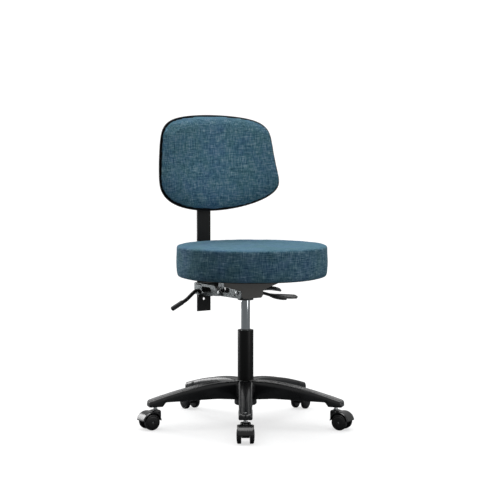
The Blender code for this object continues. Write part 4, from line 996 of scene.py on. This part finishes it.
def caster_hood():
    """The hood: a crowned band over both wheels, the web between them and the stem's socket,
    fused under one even skin. The band is a section turned about the axle from its front lip
    to its heel."""
    inner = WHEEL_RADIUS + 4 * MM
    outer = inner + 3 * MM
    first = np.arcsin((29 * MM - WHEEL_RADIUS) / outer)
    turns = np.linspace(first, radians(188), 40)
    half = CASTER_HALF - 0.4 * MM
    section = [(inner, -half + 0.8 * MM), (inner + 1.4 * MM, -half),
               (outer - 1.2 * MM, -half + 1.2 * MM), (outer, -half + 5 * MM), (outer, 0),
               (outer, half - 5 * MM), (outer - 1.2 * MM, half - 1.2 * MM),
               (inner + 1.4 * MM, half), (inner, half - 0.8 * MM), (inner, 0)]
    band = skinned("band", [[(along, TRAIL + radius * cos(t),
                              max(WHEEL_RADIUS + radius * sin(t), HOOD_FOOT))
                             for radius, along in section] for t in turns])
    heel = -13.5 * MM
    notch = [(8.5 * MM, HOOD_FOOT), (8.0 * MM, WHEEL_RADIUS - 3 * MM),
             (5 * MM, WHEEL_RADIUS - 7.4 * MM), (0, WHEEL_RADIUS - 8.5 * MM)]
    web = [(heel, HOOD_FOOT), (heel, HOOD_HIGH - 4 * MM), (heel + 3 * MM, HOOD_HIGH - 0.3 * MM),
           (9 * MM, HOOD_HIGH - 0.3 * MM), (TRAIL, WHEEL_RADIUS + outer - 1 * MM),
           (TRAIL + outer * 0.7, WHEEL_RADIUS + outer * 0.68), (TRAIL + inner + 1 * MM, HOOD_FOOT),
           *[(TRAIL + y, z) for y, z in notch], *[(TRAIL - y, z) for y, z in notch[-2::-1]]]
    plate = scaled_slices("web", web, (TRAIL * 0.6, 40 * MM),
                          ((-WEB_HALF, 0.97), (-WEB_HALF + 0.6 * MM, 1.0),
                           (WEB_HALF - 0.6 * MM, 1.0), (WEB_HALF, 0.97)))
    cheek = [(heel, HOOD_HIGH - 26 * MM), (heel, HOOD_HIGH - 4 * MM), (heel + 3 * MM, HOOD_HIGH),
             (6 * MM, HOOD_HIGH), (9 * MM, HOOD_HIGH - 3 * MM), (2 * MM, HOOD_HIGH - 12 * MM)]
    crown = scaled_slices("crown", cheek, (-3 * MM, HOOD_HIGH - 10 * MM),
                          ((-16 * MM, 0.8), (-13 * MM, 1.0), (13 * MM, 1.0), (16 * MM, 0.8)))
    return join_skins("hood", [band, plate, crown], 1.1 * MM)


def caster_stem():
    """The steel stem with the collar that the hood stops against."""
    top, foot = high("caster_1_stem")[2], low("caster_1_stem")[2]
    seat = HOOD_HIGH + 0.3 * MM
    profile = [(0.0, top), (5.5 * MM, top), (5.5 * MM, seat + 3 * MM), (7.5 * MM, seat + 3 * MM),
               (7.5 * MM, seat), (5.5 * MM, seat), (5.5 * MM, foot), (0.0, foot)]
    return turned("stem", rounded(profile, 0.5 * MM), 48)


# ---------------------------------------------------------------- mechanism, levers and post

LEVER_UP = (0, -0.5, 0.866)      # the paddles' faces lean 30 degrees toward the front
LEVER_ROOT = (0.0375, 0, 0, 3.0, 2.5)

# Stations of each lever from its hub: across, along and up in metres, then half its width and
# half its thickness in millimetres.
LEVER_STATIONS = {
    "height_lever": ((0.0535, -0.001, 0.0, 3.0, 2.5), (0.080, -0.013, -0.008, 4.8, 3.0),
                     (0.105, -0.018, -0.018, 10.0, 3.2), (0.132, -0.021, -0.024, 11.4, 3.2),
                     (0.156, -0.021, -0.027, 9.0, 3.0)),
    "recline_lever": ((0.0535, 0.0, 0.0005, 3.0, 2.5), (0.078, -0.003, 0.004, 6.4, 3.0),
                      (0.105, -0.006, 0.006, 10.0, 3.4), (0.132, -0.008, 0.002, 10.0, 3.4),
                      (0.152, -0.008, -0.003, 8.0, 3.0)),
    "tilt_lever": ((0.0535, 0.001, -0.0005, 3.0, 2.5), (0.090, 0.004, -0.010, 4.8, 3.0),
                   (0.130, 0.0, -0.020, 8.0, 3.2), (0.180, -0.010, -0.026, 11.4, 3.2),
                   (0.221, -0.016, -0.029, 9.6, 3.0)),
}


def build_levers(skins):
    """Three levers on one shaft: rods that flatten into paddles with a dished face. Each is an
    oval section carried along a smooth path and rounded off at its tip."""
    for name, stations in LEVER_STATIONS.items():
        line = smooth_path([LEVER_ROOT, *stations], 9)
        pivot = JOINTS[f"{name}_turn"]["pos_m"]
        offset = np.array([AXIS[0], pivot[1], pivot[2]])
        ends = round_ends(len(line), 0.05, 0.25)
        tail = line[:, 0] > stations[-1][0] - 12 * MM
        width = line[:, 3] * MM * np.where(tail, ends, 1.0)
        height = line[:, 4] * MM * np.where(tail, np.maximum(ends, 0.5), 1.0)
        blade = swept(f"{name}_blade", line[:, :3] + offset, width, height, 28, 3.2, LEVER_UP,
                      sharp_deg=60)
        stands_for(blade, skins, name,
                   finish="lever_steel" if name == "recline_lever" else "lever_end")
        build_lever_details(name, line, offset, skins)


def build_lever_details(name, line, offset, skins):
    """The hub round the shaft and a raised rim round the paddle's face."""
    hole, r, half = 3.3 * MM, 5.2 * MM, 3.5 * MM
    rows = np.array([ring_of(radius, along, 40) for radius, along in rounded(
        [(hole, -half), (r, -half), (r, half), (hole, half), (hole, -half)], 0.5 * MM)])
    place = (JOINTS[f"{name}_turn"]["pos_m"][0], offset[1], offset[2])
    hub = skinned(f"{name}_hub", rows[..., [0, 2, 1]] + place, wrap_rows=True)
    dress(hub, name, skins["dark_steel"])
    body = line[(line[:, 0] > line[-1, 0] * 0.66) & (line[:, 0] < line[-1, 0] - 6 * MM)]
    spine = body[:, :3] + offset
    along = np.gradient(spine, axis=0)
    along /= np.linalg.norm(along, axis=1)[:, None]
    side = np.cross(along, LEVER_UP)
    side /= np.linalg.norm(side, axis=1)[:, None]
    width = body[:, 3:4] * MM * 0.62 * round_ends(len(body), 0.5, 0.1)[:, None]
    lift = np.cross(side, along) * body[:, 4:5] * MM * 0.99
    loop = np.vstack([spine + side * width + lift, (spine - side * width + lift)[::-1]])
    rim = closed_tube(f"{name}_rim", loop, 0.55 * MM)
    dress(rim, name, skins["lever_end"])


def closed_tube(name, loop, radius, sides=8):
    """A thin round bead along a closed loop."""
    ahead = np.roll(loop, -1, 0) - np.roll(loop, 1, 0)
    ahead /= np.linalg.norm(ahead, axis=1)[:, None]
    side = np.cross(ahead, (0, 0, 1.0))
    side /= np.maximum(np.linalg.norm(side, axis=1)[:, None], 1e-9)
    lift = np.cross(side, ahead)
    ring = ring_of(radius, 0, sides)
    rows = loop[:, None] + side[:, None] * ring[None, :, :1] + lift[:, None] * ring[None, :, 1:2]
    return skinned(name, rows, wrap_rows=True)


def build_lock_lever(skins):
    """The back lock: a bent rod on an upright stud and the sleeve on its end."""
    stud = np.array(JOINTS["back_lock_turn"]["pos_m"])
    reach = np.array([-0.096, 0.015, -0.0532])
    lift = np.array([0, 0, 1.0])
    head = stud + lift * 0.0215
    level = reach * (1, 1, 0) / np.linalg.norm(reach[:2])
    tip = head + reach
    points = [stud, stud + lift * 0.010, head - lift * 0.0045 + level * 0.001,
              head + level * 0.0055 + lift * 0.0006, head + level * 0.014 + lift * 0.0002,
              head + level * 0.024 - lift * 0.006, head + reach * 0.5, head + reach * 0.75, tip]
    rod = swept("back_lock_rod", smooth_path(points, 8), 6 * MM, 6 * MM, 32,
                up=np.cross(level, lift))
    stands_for(rod, skins, "back_lock_lever")
    run = reach / np.linalg.norm(reach)
    spots = [-40, -39, -36, -32, -20, -8, 0, 2.4, 4.0, 4.4]
    widths = [6.6, 7.3, 7.6, 7.4, 7.4, 7.6, 7.4, 6.6, 4.2, 0.6]
    dense = smooth_path(np.array([spots, widths]).T, 5)
    grip = swept("back_lock_sleeve", tip + run * dense[:, :1] * MM, dense[:, 1] * MM,
                 dense[:, 1] * MM, 32)
    stands_for(grip, skins, "back_lock_grip")


def pin_head(name, place, axis, radius, thickness, body, finish):
    """A domed fastener head: a quarter ellipse turned about an axis along a direction."""
    dome = [(radius * sin(a), thickness * (0.35 + 0.65 * cos(a)))
            for a in np.linspace(0.02, pi / 2, 8)]
    tilt = Vector(axis).to_track_quat("Z", "Y").to_matrix()
    head = turned(name, dome + [(radius, 0.0), (0.0, 0.0)], 40, False, place, tilt)
    dress(head, body, finish)


PAN_HALF = 42.7 * MM         # to the outside of the seat pan's side walls
ARM_OUTSIDE = 45.7 * MM      # to the outside of the back arm's right wall


def build_mechanism(skins):
    """Eased edges on the pressed and cast pieces, and the pin heads and rivets on them."""
    for node, width, finish in (("seat_pan", 0.7, None), ("back_arm", 0.7, None),
                                ("post_clamp", 1.0, "dark_steel"), ("tilt_yoke", 1.0, None),
                                ("back_plate", 1.0, None), ("back_post", 0.9, None),
                                ("seat_board", 0.8, None)):
        softened(node, skins, width * MM, finish)
    x = AXIS[0]
    bright = skins["bright_steel"]
    for kind, joint, out, radius, thick, body in (
            ("tilt", "seat_tilt", PAN_HALF + 0.3 * MM, 6.2 * MM, 3 * MM, "seat"),
            ("arm", "back_tilt", ARM_OUTSIDE + 1.2 * MM, 6.5 * MM, 2.6 * MM, "back_arm")):
        y, z = JOINTS[joint]["pos_m"][1:]
        for label, sign in (("right", -1), ("left", 1)):
            pin_head(f"{kind}_pin_cap_{label}", (x + sign * out, y, z), (sign, 0, 0), radius,
                     thick, body, bright)
    for number, (y, z) in enumerate(((0.0, 0.4085), (0.066, 0.4075))):
        pin_head(f"pan_rivet_{number + 1}", (x - PAN_HALF, AXIS[1] + y, z), (-1, 0, 0),
                 3.4 * MM, 1.6 * MM, "seat", skins["dark_steel"])


def slab(name, outline, face, thickness, axis):
    """A flat plate from an outline in YZ (axis 0) or XZ (axis 1), face to face + thickness,
    with its edges eased."""
    flat = np.array(outline, float)
    centre = flat.mean(0)
    rows = []
    for share, along in ((0.985, 0.0), (1.0, 0.2), (1.0, 0.8), (0.985, 1.0)):
        ring = centre + (flat - centre) * share
        rows.append(np.insert(ring, axis, face + thickness * along, axis=1))
    return skinned(name, np.array(rows))


def build_plates(skins):
    """Painted shade as a dark sheet on the pan's front face; the straps, stop pad and flange on the right of the
    back arm.
    """
    x, y = AXIS[0], AXIS[1]
    top = high("seat_pan")[2] - 3.5 * MM
    right = [(33.5, 0.4005), (42.0, 0.4090), (42.0, 0.4240), (106.0, 0.4432), (110.5, top)]
    front = [(x + a * MM, z) for a, z in right] + [(x - a * MM, z) for a, z in right[::-1]]
    # painted shade: a thin dark sheet on the pan's front face stands in for the shade that falls there
    plate = slab("front_painted_shade_sheet", front, y - 36.3 * MM, -0.9 * MM, 1)
    dress(plate, "seat", skins["front_shade_paint"])
    strap = ((106.5, 0.4300), (99.5, 0.4300), (74.5, 0.4125), (81.5, 0.4125))
    pad = ((182, 0.4262), (209, 0.4262), (209, 0.4300), (182, 0.4300))
    lip = ((116, 0.3962), (218, 0.3942), (218, 0.3975), (116, 0.3996))
    for name, outline, shift, thickness, slot in (
            ("arm_strap_1", strap, 0, 1.4, "black_steel"),
            ("arm_strap_2", strap, 15, 1.4, "black_steel"),
            ("arm_stop_pad", pad, 0, 0.8, "rubber"),
            ("arm_flange", lip, 0, 1.9, "mechanism_steel")):
        piece = slab(name, [(y + (a - shift) * MM, z) for a, z in outline], x - ARM_OUTSIDE,
                     -thickness * MM, 0)
        dress(piece, "back_arm", skins[slot])


def finish_small_nodes(skins):
    """CAD nodes whose shape is already right keep it and take the finer finish."""
    for name, thing in NODES.items():
        if thing.hide_render:
            continue
        thing.data.materials.clear()
        thing.data.materials.append(skins[SLOT_OF[name]])


def main():
    """The studio, then every finished piece in turn."""
    build_camera()
    build_world()
    build_lights()
    build_floor()
    skins = build_materials()
    build_seat_cushion(skins)
    build_back_cushion(skins)
    build_back_shell(skins)
    build_base(skins)
    build_column(skins)
    build_casters(skins)
    build_levers(skins)
    build_lock_lever(skins)
    build_mechanism(skins)
    build_plates(skins)
    finish_small_nodes(skins)


main()
